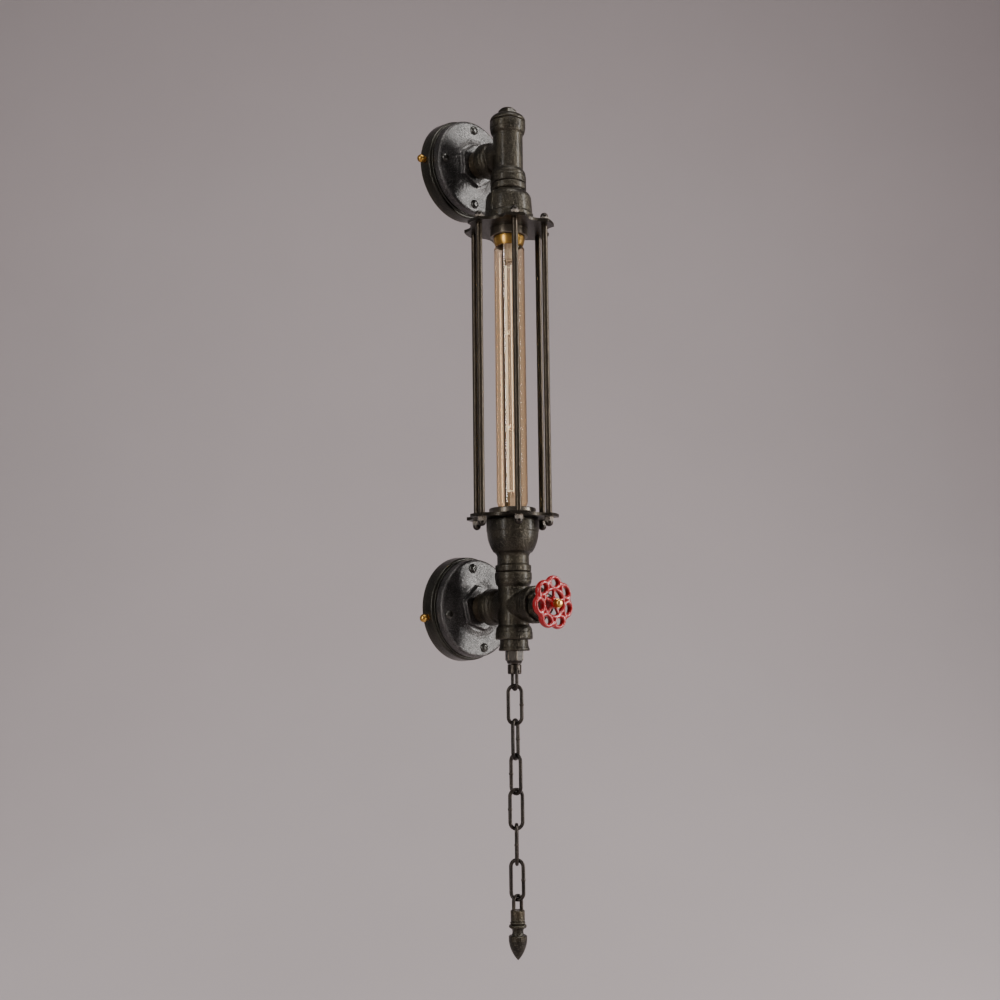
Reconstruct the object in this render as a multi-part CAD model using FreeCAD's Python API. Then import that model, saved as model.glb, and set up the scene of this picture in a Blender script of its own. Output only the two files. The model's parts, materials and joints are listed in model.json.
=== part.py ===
"""Industrial pipe wall light: cast pipe fittings on two wall plates, a tube lamp in a rod cage,
a lobed hand wheel, and a pull switch with a long-link chain and a turned finial.

Millimetres. The wall is the plane Y = 0 and the light stands out from it towards -Y, +Z is up,
and the origin is the centre of the upper wall plate on the wall.
Distances called "out" are measured from the wall towards -Y.
"""
import FreeCAD, Part
import math
import os

V = FreeCAD.Vector

# Overall layout
axis_out = 73.0              # wall to the vertical pipe axis
lower_plate_turn = 10.5      # the lower plate is screwed up turned by this many degrees
seat_gap = 0.05              # clearance round parts that are screwed or pushed together
running_gap = 0.06           # radial clearance round parts that turn or slide
tip_flat_d = 1.0             # small flat at the top of a turned dome

# Wall strap behind each plate
strap_long = 90.0
strap_wide = 20.0
strap_thick = 2.0
strap_arm_out = 10.0
wall_hole_pcd = 60.0
wall_hole_d = 5.2
cable_hole_d = 16.0

# Canopy: the stepped cover against the wall
canopy_wall_d = 102.0
canopy_rim_d = 100.6
canopy_rim_out = 10.6
canopy_step_d = 96.8
canopy_step_out = 12.6
canopy_face_out = 15.0
canopy_sheet = 1.6

# Pipe flange on the canopy
flange_d = 95.0
flange_rim = 6.6
flange_crown = 9.2
flange_boss_d = 45.0         # across the corners of the hexagonal boss
flange_boss_turn = 33.0
flange_boss_rise = 6.4
flange_screw_pcd = 78.0
flange_screw_d = 4.0
flange_screw_head_d = 9.0
flange_screw_head_rise = 2.8
flange_screw_below = 5.5     # screw end beyond the back of the canopy face
flange_nut_flats = 7.0
flange_nut_thick = 3.2
screw_slack = 0.2
cross_slot_long = 5.0
cross_slot_wide = 1.2
cross_slot_deep = 1.3

# Brass side knobs
knob_out = 6.0
knob_d = 8.0
knob_collar_d = 6.4
knob_collar_thick = 1.2
knob_stem_d = 4.0

# Pipe thread and nipples
thread_d = 26.4
thread_engaged = 13.0
nipple_bore_d = 20.0
nipple_shoulder_d = 28.6

# Tee and cross
fitting_reach = 32.0         # centre to each end
fitting_body_d = 29.6
fitting_branch_d = 28.6
fitting_band_d = 35.4
fitting_band_long = 8.0
fitting_ramp_long = 5.6
fitting_edge = 0.9
fitting_blend = 2.4
fitting_bore_d = 23.0

# Domed plug on the tee
plug_rim_d = 35.2
plug_rim_tall = 1.6
plug_dome_tall = 5.4
plug_neck_d = 20.0
nub_side = 13.4
nub_tall = 7.6
nub_chamfer = 2.4

# Upper bell reducer
bell_tall = 43.0
bell_band_tall = 7.4
bell_neck_d = 30.6
bell_shoulder_d = 44.8
bell_rim_d = 48.6
bell_rim_tall = 11.4
bell_wall = 3.2
seam_wide = 1.6
seam_proud = 0.5

# Cage
plate_thick = 3.0
lobe_d = 89.4
lobe_count = 6
lobe_bite_r = 19.0
lobe_bite_at = 55.6
lobe_first = 36.0            # first rod, turned from -Y towards -X
rod_pcd = 74.0
rod_d = 6.0
rod_thread_d = 4.6
cage_tall = 283.0            # between the two plates
dome_nut_flats = 8.0
dome_nut_hex_tall = 4.2
dome_nut_tall = 9.0
dome_nut_deep = 6.4
lower_vent_d = 16.0

# Lamp holder
holder_d = 32.6
holder_wall = 1.6
holder_above = 26.5          # above the plate's upper face
holder_flange_d = 38.0
holder_flange_thick = 2.4
holder_ring_d = 36.5
holder_ring_tall = 8.0
insulator_thick = 6.0
shell_wall = 0.6
contact_d = 8.0

# Tube lamp
lamp_thread_d = 26.4
lamp_thread_tall = 24.6
lamp_skirt_d = 30.8
lamp_skirt_tall = 9.0
lamp_neck_d = 26.6
lamp_base_wall = 0.6
lamp_glass_d = 30.0
lamp_glass_wall = 0.9
lamp_shoulder_tall = 4.6
lamp_end_tall = 12.0
lamp_end_gap = 1.6
stem_foot_d = 10.0
stem_foot_tall = 16.0
stem_rod_d = 4.2
stem_end_gap = 16.0
filament_wire_d = 0.7
filament_strands = 6
filament_pcd = 8.6
support_wire_d = 0.6
support_levels = (0.3, 0.72)
support_arms = 4
support_past = 1.6           # reach beyond the strands
support_rise = 0.35          # slope of each arm

# Ring and cushion round the lamp's lower end
collar_d = 45.0
collar_bore_d = 34.4
collar_tall = 7.0
cushion_tall = 5.0

# Lower reducer
cup_tall = 51.0
cup_rim_d = 50.4
cup_rim_tall = 12.6
cup_neck_d = 30.4
cup_ring_d = 34.4
cup_ring_tall = 7.0
cup_wall = 3.2

# Bonnet, packing nut and spindle
bonnet_flats = 27.0
bonnet_hex_tall = 5.5
bonnet_boss_d = 14.0
bonnet_boss_tall = 3.0
bonnet_bore_d = 10.4
bonnet_seat_at = 2.0         # inner shoulder beyond the cross's end
packing_flats = 18.0
packing_tall = 7.0
spindle_d = 7.0
spindle_collar_d = 10.0
spindle_collar_thick = 3.0
spindle_inside = 17.0
spindle_thread_d = 5.0

# Hand wheel
wheel_d = 51.6
wheel_lobes = 7
wheel_lobe_first = 2.0
wheel_lobe_hole_d = 8.8
wheel_rim_wide = 3.8
wheel_rim_deep = 6.4
wheel_hub_d = 12.0
wheel_hub_tall = 11.0
wheel_spokes = 5
wheel_spoke_first = -3.0
wheel_spoke_wide = 3.2
wheel_spoke_deep = 4.4
wheel_back_gap = 0.3
wheel_nut_flats = 8.0
wheel_nut_hex_tall = 3.0
wheel_nut_tall = 6.4

# Bushing, pull switch and gland
bushing_tall = 10.5
bushing_top_d = 26.8
bushing_rim_d = 29.6
bushing_rim_tall = 2.0
switch_d = 15.0
switch_wall = 1.4
switch_tall = 30.0
gland_flats = 15.4
gland_hex_tall = 9.0
gland_taper_tall = 3.0
gland_end_d = 13.0
gland_thread_tall = 3.3

# Plunger and return spring
plunger_d = 6.0
plunger_collar_d = 10.8
plunger_collar_thick = 3.0
spring_tall = 16.0
spring_wall = 0.9
spring_slack = 0.3
pull_head_d = 13.1
pull_head_tall = 9.4
pull_head_slot = 4.4
pull_head_slot_deep = 4.0

# Chain
link_pitch = 32.0
link_wide = 16.0
link_wire_d = 3.5
link_count = 6
link_turn = 67.0             # each link is turned this much from the one above
link_first_turn = -44.0      # plane of the first link, from +X towards +Y
link_slack = 0.2
eye_wide = 13.0
eye_wire_d = 3.2
eye_drop = 12.5              # from the pull head to the first bearing point

# Finial
finial_eye_wide = 13.0
finial_eye_wire_d = 3.4
finial_eye_drop = 11.0
finial_d = 13.2
finial_top_tall = 10.0
finial_bead_d = 14.2
finial_bead_tall = 2.8
finial_ring_d = 16.5
finial_ring_tall = 3.5
finial_neck_d = 12.1
finial_neck_tall = 6.3
finial_drop_d = 17.0
finial_drop_tall = 22.0

# Heights worked out from the sizes above
tee_z = 0.0
bell_top_z = tee_z - fitting_reach
upper_plate_top_z = bell_top_z - bell_tall
upper_plate_low_z = upper_plate_top_z - plate_thick
lower_plate_top_z = upper_plate_low_z - cage_tall
lower_plate_low_z = lower_plate_top_z - plate_thick
cup_low_z = lower_plate_low_z - cup_tall
cross_z = cup_low_z - fitting_reach
holder_top_z = upper_plate_top_z + holder_above
holder_low_z = upper_plate_low_z - holder_ring_tall
lamp_skirt_top_z = holder_low_z - 0.4
lamp_base_top_z = lamp_skirt_top_z + lamp_thread_tall
lamp_skirt_low_z = lamp_skirt_top_z - lamp_skirt_tall
lamp_end_z = lower_plate_top_z + lamp_end_gap
cross_low_z = cross_z - fitting_reach
bushing_low_z = cross_low_z - bushing_tall
gland_hex_low_z = bushing_low_z - gland_hex_tall
gland_low_z = gland_hex_low_z - gland_taper_tall
switch_low_z = bushing_low_z + gland_thread_tall
switch_top_z = switch_low_z + switch_tall
pull_head_top_z = gland_low_z - spring_slack
pull_head_low_z = pull_head_top_z - pull_head_tall
first_bearing_z = pull_head_low_z - eye_drop
cross_front_out = axis_out + fitting_reach


def bearing_z(index):
    """Height where link number index (from 0) bears on the one above it."""
    return first_bearing_z - index * link_pitch


def face_from(start, steps):
    """Closed face in the XZ half plane; a step is (r, z), or ((r, z), (r, z)) for an arc."""
    edges = []
    here = V(start[0], 0, start[1])
    for step in steps + [start]:
        if isinstance(step[0], tuple):
            middle = V(step[0][0], 0, step[0][1])
            there = V(step[1][0], 0, step[1][1])
            edges.append(Part.Arc(here, middle, there).toShape())
        else:
            there = V(step[0], 0, step[1])
            edges.append(Part.makeLine(here, there))
        here = there
    return Part.Face(Part.Wire(edges))


def turned(start, steps):
    """Solid of revolution about the Z axis from a profile of radius and height."""
    return face_from(start, steps).revolve(V(0, 0, 0), V(0, 0, 1), 360)


def rod(diameter, low, high):
    """Round bar along Z between two heights."""
    return Part.makeCylinder(diameter / 2, high - low, V(0, 0, low))


def tube(outer_d, bore_d, low, high):
    """Round tube along Z between two heights."""
    return rod(outer_d, low, high).cut(rod(bore_d, low - 1, high + 1))


def hexagon(flats, low, high, turn=0.0):
    """Hexagonal bar along Z, size across the flats, with its chamfered corners."""
    corner = flats / math.sqrt(3)
    points = []
    for k in range(7):
        angle = math.radians(turn + 60 * k)
        points.append(V(corner * math.cos(angle), corner * math.sin(angle), low))
    bar = Part.Face(Part.makePolygon(points)).extrude(V(0, 0, high - low))
    lean = (corner - flats / 2) * 0.55
    crown = turned((0, low), [(corner - lean, low), (corner, low + lean), (corner, high - lean),
                              (corner - lean, high), (0, high)])
    return bar.common(crown)


def outward(shape, z):
    """Turn a shape built along +Z to stand out from the wall at height z, on the light's centre."""
    shape = shape.copy()
    shape.rotate(V(0, 0, 0), V(1, 0, 0), 90)
    shape.translate(V(0, 0, z))
    return shape


def on_axis(shape, z=0.0):
    """Move a shape built round the Z axis onto the pipe axis."""
    shape = shape.copy()
    shape.translate(V(0, -axis_out, z))
    return shape


def spread(shape, radius, count, first=0.0):
    """List of copies of a shape set round the Z axis at a radius."""
    copies = []
    for k in range(count):
        piece = shape.copy()
        piece.translate(V(radius, 0, 0))
        piece.rotate(V(0, 0, 0), V(0, 0, 1), first + 360.0 * k / count)
        copies.append(piece)
    return copies


def united(shapes):
    """One solid from touching shapes."""
    result = shapes[0]
    for shape in shapes[1:]:
        result = result.fuse(shape)
    return result.removeSplitter()


# Wall plates

def wall_strap():
    """Flat steel bracket against the wall with two arms bent outwards to take the side knobs."""
    half = strap_long / 2
    back = Part.makeBox(strap_long, strap_wide, strap_thick, V(-half, -strap_wide / 2, 0))
    pieces = [back]
    for side in (-1, 1):
        start = half - strap_thick if side > 0 else -half
        pieces.append(Part.makeBox(strap_thick, strap_wide, strap_arm_out, V(start, -strap_wide / 2, 0)))
    strap = united(pieces)
    holes = spread(rod(wall_hole_d, -1, strap_thick + 1), wall_hole_pcd / 2, 2)
    holes.append(rod(cable_hole_d, -1, strap_thick + 1))
    knob_hole = rod(knob_stem_d + 2 * seat_gap, -strap_long, strap_long)
    knob_hole.rotate(V(0, 0, 0), V(0, 1, 0), 90)
    knob_hole.translate(V(0, 0, knob_out))
    return strap.cut(holes + [knob_hole])


def canopy():
    """Stepped pan with its open side to the wall."""
    wall_r = canopy_wall_d / 2
    rim_r = canopy_rim_d / 2
    step_r = canopy_step_d / 2
    inner_r = step_r - canopy_sheet
    inner_face = canopy_face_out - canopy_sheet
    pan = turned((cable_hole_d / 2, canopy_face_out), [
        (step_r - 0.8, canopy_face_out), ((step_r - 0.2, canopy_face_out - 0.3), (step_r, canopy_face_out - 0.9)),
        (step_r, canopy_step_out), ((rim_r - 0.5, canopy_step_out - 0.6), (rim_r, canopy_rim_out)),
        (wall_r, 0), (wall_r - canopy_sheet, 0), (rim_r - canopy_sheet, canopy_rim_out - canopy_sheet),
        (inner_r, canopy_rim_out - 0.6), (inner_r, inner_face), (cable_hole_d / 2, inner_face)])
    cuts = spread(rod(flange_screw_d + screw_slack, inner_face - 1, canopy_face_out + 1),
                  flange_screw_pcd / 2, 4)
    knob_hole = rod(knob_stem_d + screw_slack, -canopy_wall_d, canopy_wall_d)
    knob_hole.rotate(V(0, 0, 0), V(0, 1, 0), 90)
    knob_hole.translate(V(0, 0, knob_out))
    return pan.cut(cuts + [knob_hole])


def flange():
    """Round cast flange with a raised hexagonal boss and a threaded bore."""
    rim_r = flange_d / 2
    back = canopy_face_out
    rim = back + flange_rim
    crown = back + flange_crown
    boss_r = flange_boss_d / 2
    screw_face_r = flange_screw_pcd / 2 - flange_screw_head_d / 2 - 1.5
    disc = turned((thread_d / 2, back), [
        (rim_r - 0.6, back), (rim_r, back + 0.6), (rim_r, rim),
        ((rim_r - 0.7, rim + 1.7), (rim_r - 2.4, crown)), (screw_face_r, crown),
        ((boss_r + 4.0, crown + 0.3), (boss_r, crown + 1.2)), (thread_d / 2, crown + 1.2)])
    boss = hexagon(flange_boss_d * math.cos(math.radians(30)), back + 1, crown + flange_boss_rise,
                   flange_boss_turn)
    body = disc.fuse(boss)
    bore = rod(thread_d + 2 * seat_gap, back - 1, crown + flange_boss_rise + 1)
    holes = spread(rod(flange_screw_d + screw_slack, back - 1, crown + 1), flange_screw_pcd / 2, 4)
    return body.cut(holes + [bore])


def flange_screws():
    """Four pan-head screws with crossed slots."""
    face = canopy_face_out + flange_crown
    head_r = flange_screw_head_d / 2
    top = face + flange_screw_head_rise
    end = canopy_face_out - canopy_sheet - flange_screw_below
    screw = turned((0, end), [
        (flange_screw_d / 2 - 0.4, end), (flange_screw_d / 2, end + 0.5), (flange_screw_d / 2, face),
        (head_r, face), (head_r, face + 0.6), ((head_r * 0.76, top - 0.6), (tip_flat_d / 2, top)), (0, top)])
    for angle in (0, 90):
        slot = Part.makeBox(cross_slot_long, cross_slot_wide, cross_slot_deep + 1,
                            V(-cross_slot_long / 2, -cross_slot_wide / 2, top - cross_slot_deep))
        slot.rotate(V(0, 0, 0), V(0, 0, 1), angle + 25)
        screw = screw.cut(slot)
    return Part.makeCompound(spread(screw, flange_screw_pcd / 2, 4))


def flange_nuts():
    """Four nuts behind the canopy's face."""
    high = canopy_face_out - canopy_sheet
    nut = hexagon(flange_nut_flats, high - flange_nut_thick, high)
    nut = nut.cut(rod(flange_screw_d + 2 * seat_gap, 0, high + 1))
    return Part.makeCompound(spread(nut, flange_screw_pcd / 2, 4))


def side_knobs():
    """Two ball knobs whose stems screw into the arms of the strap."""
    nearest_out = knob_out - knob_collar_d / 2
    sheet_r = canopy_wall_d / 2 - (canopy_wall_d - canopy_rim_d) / 2 * nearest_out / canopy_rim_out
    collar_end = sheet_r + knob_collar_thick
    ball_r = knob_d / 2
    ball_at = collar_end + ball_r * 0.86
    stem_end = strap_long / 2 - strap_thick - 2
    collar_r = knob_collar_d / 2
    neck = math.sqrt(ball_r ** 2 - (ball_at - collar_end) ** 2)
    knob = turned((0, stem_end), [
        (knob_stem_d / 2, stem_end), (knob_stem_d / 2, sheet_r + seat_gap), (collar_r, sheet_r + seat_gap),
        (collar_r, collar_end), (neck, collar_end), ((ball_r, ball_at), (0, ball_at + ball_r))])
    pair = []
    for angle in (90, -90):
        piece = knob.copy()
        piece.rotate(V(0, 0, 0), V(0, 1, 0), angle)
        piece.translate(V(0, 0, knob_out))
        pair.append(piece)
    return Part.makeCompound(pair)


def wall_nipple():
    """Threaded nipple from the flange to the branch of the tee or cross."""
    shoulder_low = canopy_face_out + flange_crown + flange_boss_rise
    shoulder_high = axis_out - fitting_reach
    shoulder_r = nipple_shoulder_d / 2
    low = canopy_face_out + 1
    high = shoulder_high + thread_engaged
    return turned((nipple_bore_d / 2, low), [
        (thread_d / 2, low), (thread_d / 2, shoulder_low), (shoulder_r - 0.5, shoulder_low),
        (shoulder_r, shoulder_low + 0.5), (shoulder_r, shoulder_high - 0.5), (shoulder_r - 0.5, shoulder_high),
        (thread_d / 2, shoulder_high), (thread_d / 2, high), (nipple_bore_d / 2, high)])


# Pipe fittings

def end_band(reach):
    """Raised band at the end of a fitting's arm, with the slope behind it."""
    band_r = fitting_band_d / 2
    body_r = fitting_body_d / 2
    inner_r = thread_d / 2
    back = reach - fitting_band_long
    ramp = back - fitting_ramp_long
    return turned((inner_r, ramp), [
        (body_r - 0.7, ramp), (body_r + 0.6, ramp + 0.5), ((body_r + 1.7, ramp + 2.0), (band_r - 0.5, back)),
        (band_r - 0.9, back + 0.4), (band_r, back + 0.9), (band_r, reach - fitting_edge),
        (band_r - fitting_edge, reach), (inner_r, reach)])


def fitting(branch_turns):
    """Cast fitting with a vertical run and a branch for each turn about X from +Z."""
    core = rod(fitting_body_d, -fitting_reach, fitting_reach)
    for turn in branch_turns:
        branch = rod(fitting_branch_d, 0, fitting_reach)
        branch.rotate(V(0, 0, 0), V(1, 0, 0), turn)
        core = core.fuse(branch)
    seams = []
    for edge in core.Edges:
        round_or_straight = isinstance(edge.Curve, (Part.Circle, Part.Line))
        if not round_or_straight:
            seams.append(edge)
    core = core.makeFillet(fitting_blend, seams)
    bands = []
    bores = []
    for turn in [0, 180] + branch_turns:
        band = end_band(fitting_reach)
        bore = rod(fitting_bore_d, 0, fitting_reach)
        socket = rod(thread_d + 2 * seat_gap, fitting_reach - thread_engaged - seat_gap, fitting_reach + 1)
        for piece in (band, bore, socket):
            piece.rotate(V(0, 0, 0), V(1, 0, 0), turn)
        bands.append(band)
        bores += [bore, socket]
    return united([core] + bands).cut(bores)


def run_nipple(joint_z):
    """Hidden close nipple, half in each of two fittings that meet at joint_z."""
    return tube(thread_d, nipple_bore_d, joint_z - thread_engaged, joint_z + thread_engaged)


def domed_plug():
    """Plug in the top of the tee: a thread, a domed head and a square nub."""
    rim_r = plug_rim_d / 2
    neck_r = plug_neck_d / 2
    rim_high = fitting_reach + plug_rim_tall
    dome_high = rim_high + plug_dome_tall
    head = turned((0, fitting_reach - thread_engaged), [
        (thread_d / 2, fitting_reach - thread_engaged), (thread_d / 2, fitting_reach), (rim_r - 0.5, fitting_reach),
        (rim_r, fitting_reach + 0.5), (rim_r, rim_high),
        ((rim_r - 1.6, rim_high + 3.1), (neck_r, dome_high)), (0, dome_high)])
    top = dome_high + nub_tall
    nub = Part.makeBox(nub_side, nub_side, nub_tall + 2, V(-nub_side / 2, -nub_side / 2, dome_high - 2))
    corner = nub_side * math.sqrt(2) / 2
    crown = turned((0, dome_high - 2), [
        (corner - 0.3, dome_high - 2), (corner - 0.3, top - nub_chamfer), (corner - nub_chamfer * 1.7, top), (0, top)])
    return united([head, nub.common(crown)])


def upper_reducer():
    """Bell-shaped reducer, small end up, open below; heights are measured down from its top."""
    band_r = fitting_band_d / 2
    neck_r = bell_neck_d / 2
    shoulder_r = bell_shoulder_d / 2
    rim_r = bell_rim_d / 2
    bore_r = thread_d / 2 + seat_gap
    inside_r = rim_r - 0.6 - bell_wall
    rim_top = -(bell_tall - bell_rim_tall)
    body = turned((bore_r, 0), [
        (band_r - 1.0, 0), (band_r, -1.0), (band_r, -bell_band_tall + 1.4),
        ((band_r - 0.6, -bell_band_tall + 0.3), (neck_r, -bell_band_tall)), (neck_r, -bell_band_tall - 1.0),
        ((neck_r + 4.2, -bell_band_tall - 2.9), (shoulder_r, -16.0)), (rim_r - 1.1, -26.0),
        (rim_r - 1.0, rim_top + 0.8), (rim_r - 0.1, rim_top), (rim_r, -bell_tall + 0.8),
        (rim_r - 0.8, -bell_tall), (inside_r, -bell_tall), (inside_r, -24.0),
        ((inside_r - 0.9, -19.6), (inside_r - 3.0, -15.4)), (bore_r, -thread_engaged - seat_gap)])
    seams = []
    for side in (0, 180):
        rib = turned((neck_r + 3, -bell_band_tall - 2), [
            ((neck_r + 4.2 + seam_proud, -bell_band_tall - 2.6), (shoulder_r + seam_proud, -16.0)),
            (rim_r - 1.1 + seam_proud, -26.0), (rim_r - 1.0 + seam_proud, rim_top + 0.5),
            (rim_r - 3.0, rim_top + 0.5), (shoulder_r - 3, -16)])
        slab = Part.makeBox(rim_r * 2, seam_wide, bell_tall, V(0, -seam_wide / 2, -bell_tall))
        slab.rotate(V(0, 0, 0), V(0, 0, 1), side)
        seams.append(rib.common(slab))
    return united([body] + seams)


def lower_reducer():
    """Cup-shaped reducer, wide end up; heights are measured down from its top."""
    rim_r = cup_rim_d / 2
    neck_r = cup_neck_d / 2
    ring_r = cup_ring_d / 2
    bore_r = thread_d / 2 + seat_gap
    inside_r = rim_r - 0.4 - cup_wall
    ring_top = -(cup_tall - cup_ring_tall)
    neck_top = ring_top + 7.6
    socket_top = -(cup_tall - thread_engaged - seat_gap)
    return turned((inside_r, 0), [
        (rim_r - 0.9, 0), (rim_r - 0.4, -0.6), (rim_r, -2.0), (rim_r, -cup_rim_tall + 0.5),
        (rim_r - 0.5, -cup_rim_tall), (rim_r - 0.6, -cup_rim_tall - 1.2),
        ((rim_r - 2.6, -24.0), (neck_r + 3.4, -32.0)), ((neck_r + 0.8, -34.0), (neck_r, neck_top)),
        (neck_r, ring_top), (ring_r - 0.5, ring_top - 0.3), (ring_r, ring_top - 0.9), (ring_r, -cup_tall + 0.8),
        (ring_r - 0.8, -cup_tall), (bore_r, -cup_tall), (bore_r, socket_top), (bore_r - 2.4, socket_top),
        (bore_r - 2.4, -34.0), ((inside_r - 3.2, -25.0), (inside_r, -13.0))])


# Cage

def cage_plate(centre_hole_d):
    """Six-lobed plate, a lobe for each rod, with its lower face at height 0."""
    disc = rod(lobe_d, 0, plate_thick)
    bite = Part.makeCylinder(lobe_bite_r, plate_thick + 2, V(0, 0, -1))
    half_step = 180.0 / lobe_count
    cuts = spread(bite, lobe_bite_at, lobe_count, -90 - lobe_first + half_step)
    cuts += spread(rod(rod_thread_d + screw_slack, -1, plate_thick + 1), rod_pcd / 2, lobe_count,
                   -90 - lobe_first)
    cuts.append(rod(centre_hole_d, -1, plate_thick + 1))
    return disc.cut(cuts)


def cage_rod():
    """Rod with a shoulder against each plate and a thread through it, along Z."""
    tail = plate_thick + dome_nut_deep - 1
    low = lower_plate_top_z
    high = upper_plate_low_z
    bar = rod(rod_d, low, high)
    return united([bar, rod(rod_thread_d, low - tail, low), rod(rod_thread_d, high, high + tail)])


def dome_nut(flats, hex_tall, tall, bore_d, deep):
    """Blind nut along +Z with its seat at height 0."""
    dome_r = flats / 2 * 0.96
    hexed = hexagon(flats, 0, hex_tall)
    dome = turned((0, hex_tall - 0.4), [
        (dome_r, hex_tall - 0.4), (dome_r, hex_tall + 0.8),
        ((dome_r * 0.8, tall - (tall - hex_tall) * 0.3), (tip_flat_d / 2, tall)), (0, tall)])
    return united([hexed, dome]).cut(rod(bore_d, -1, deep))


def cage_nuts(upper):
    """Six dome nuts on one plate."""
    nut = dome_nut(dome_nut_flats, dome_nut_hex_tall, dome_nut_tall, rod_thread_d + 2 * seat_gap, dome_nut_deep)
    if not upper:
        nut.rotate(V(0, 0, 0), V(1, 0, 0), 180)
    return Part.makeCompound(spread(nut, rod_pcd / 2, lobe_count, -90 - lobe_first))


# Lamp holder and lamp

def lamp_holder():
    """Barrel through the plate with a flange that rests on it and a closed top."""
    barrel_r = holder_d / 2
    inside_r = barrel_r - holder_wall
    flange_r = holder_flange_d / 2
    flange_top = upper_plate_top_z + holder_flange_thick
    return turned((0, holder_top_z), [
        (barrel_r - 1.5, holder_top_z), (barrel_r, holder_top_z - 1.5), (barrel_r, flange_top),
        (flange_r, flange_top), (flange_r, upper_plate_top_z), (barrel_r, upper_plate_top_z),
        (barrel_r, holder_low_z), (inside_r, holder_low_z), (inside_r, holder_top_z - holder_wall),
        (0, holder_top_z - holder_wall)])


def holder_ring():
    """Threaded ring that clamps the holder to the plate from below."""
    outer_r = holder_ring_d / 2
    bore_r = holder_d / 2 + seat_gap
    return turned((bore_r, upper_plate_low_z), [
        (outer_r, upper_plate_low_z), (outer_r, holder_low_z + 0.7), (outer_r - 0.7, holder_low_z),
        (bore_r, holder_low_z)])


def holder_insulator():
    """Insulating disc in the top of the holder."""
    high = holder_top_z - holder_wall
    return rod(holder_d - 2 * holder_wall - 2 * seat_gap, high - insulator_thick, high)


def centre_contact():
    """Brass contact under the insulator, touching the lamp's tip."""
    high = holder_top_z - holder_wall - insulator_thick
    return rod(contact_d, lamp_base_top_z, high)


def screw_shell():
    """Brass shell that takes the lamp's thread."""
    outer = holder_d - 2 * holder_wall - 2 * seat_gap
    high = holder_top_z - holder_wall - insulator_thick
    return tube(outer, outer - 2 * shell_wall, holder_low_z + 0.5, high)


def lamp_base():
    """Brass screw base of the lamp with a rounded skirt over the glass."""
    thread_r = lamp_thread_d / 2
    skirt_r = lamp_skirt_d / 2
    neck_r = lamp_neck_d / 2
    tip_r = contact_d / 2
    top = lamp_base_top_z
    inner_r = neck_r - lamp_base_wall
    return turned((0, top), [
        (tip_r, top), (thread_r - 2.5, top - 2.0), (thread_r, top - 4.0), (thread_r, lamp_skirt_top_z),
        (skirt_r, lamp_skirt_top_z), (skirt_r, lamp_skirt_top_z - 1.6),
        ((skirt_r - 0.5, lamp_skirt_top_z - 4.6), (neck_r, lamp_skirt_low_z)), (inner_r, lamp_skirt_low_z),
        (inner_r, top - 5.0), (0, top - 5.0)])


def lamp_glass():
    """Long glass tube with a shoulder at the base and a rounded lower end."""
    neck_r = lamp_neck_d / 2 - lamp_base_wall - seat_gap
    tube_r = lamp_glass_d / 2
    wall = lamp_glass_wall
    neck_top = lamp_skirt_low_z + lamp_skirt_tall - 1
    shoulder_low = lamp_skirt_low_z - lamp_shoulder_tall
    end_top = lamp_end_z + lamp_end_tall
    bulge = tube_r * math.cos(math.radians(45))
    drop = lamp_end_tall * math.sin(math.radians(45))
    inner_bulge = (tube_r - wall) * math.cos(math.radians(45))
    inner_drop = (lamp_end_tall - wall) * math.sin(math.radians(45))
    return turned((neck_r, neck_top), [
        (neck_r, lamp_skirt_low_z - 0.3), ((tube_r - 0.5, lamp_skirt_low_z - 1.9), (tube_r, shoulder_low)),
        (tube_r, end_top), ((bulge, end_top - drop), (tip_flat_d, lamp_end_z)), (0, lamp_end_z),
        (0, lamp_end_z + wall), (tip_flat_d, lamp_end_z + wall),
        ((inner_bulge, end_top - inner_drop), (tube_r - wall, end_top)), (tube_r - wall, shoulder_low),
        ((tube_r - wall - 0.5, lamp_skirt_low_z - 2.3), (neck_r - wall, lamp_skirt_low_z)),
        (neck_r - wall, neck_top)])


def lamp_stem():
    """Glass foot in the neck, drawn down to a rod that carries the filament."""
    foot_r = stem_foot_d / 2
    rod_r = stem_rod_d / 2
    top = lamp_base_top_z - 5.0
    foot_low = lamp_skirt_low_z - stem_foot_tall
    end = lamp_end_z + stem_end_gap
    return turned((0, top), [
        (foot_r, top), (foot_r, foot_low + 6), ((foot_r - 1.6, foot_low + 2.4), (rod_r, foot_low)),
        (rod_r, end + 2), ((rod_r * 0.75, end + 0.5), (tip_flat_d / 2, end)), (0, end)])


def filament_span():
    """Highest and lowest point of the filament."""
    return lamp_skirt_low_z - stem_foot_tall - 4, lamp_end_z + stem_end_gap + 6


def filament():
    """Long strands round the stem, joined in pairs at their ends by short cross wires."""
    high, low = filament_span()
    strand = rod(filament_wire_d, low, high)
    strands = spread(strand, filament_pcd / 2, filament_strands)
    ties = []
    for k in range(filament_strands - 1):
        level = high if k % 2 == 0 else low
        ends = []
        for index in (k, k + 1):
            angle = 2 * math.pi * index / filament_strands
            ends.append(V(filament_pcd / 2 * math.cos(angle), filament_pcd / 2 * math.sin(angle), level))
        span = ends[1].sub(ends[0])
        ties.append(Part.makeCylinder(filament_wire_d / 2, span.Length, ends[0], span))
    balls = []
    for k in range(filament_strands):
        angle = 2 * math.pi * k / filament_strands
        for level in (high, low):
            place = V(filament_pcd / 2 * math.cos(angle), filament_pcd / 2 * math.sin(angle), level)
            balls.append(Part.makeSphere(filament_wire_d / 2, place))
    return Part.makeCompound([united(strands + ties + balls)] + filament_supports())


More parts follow.
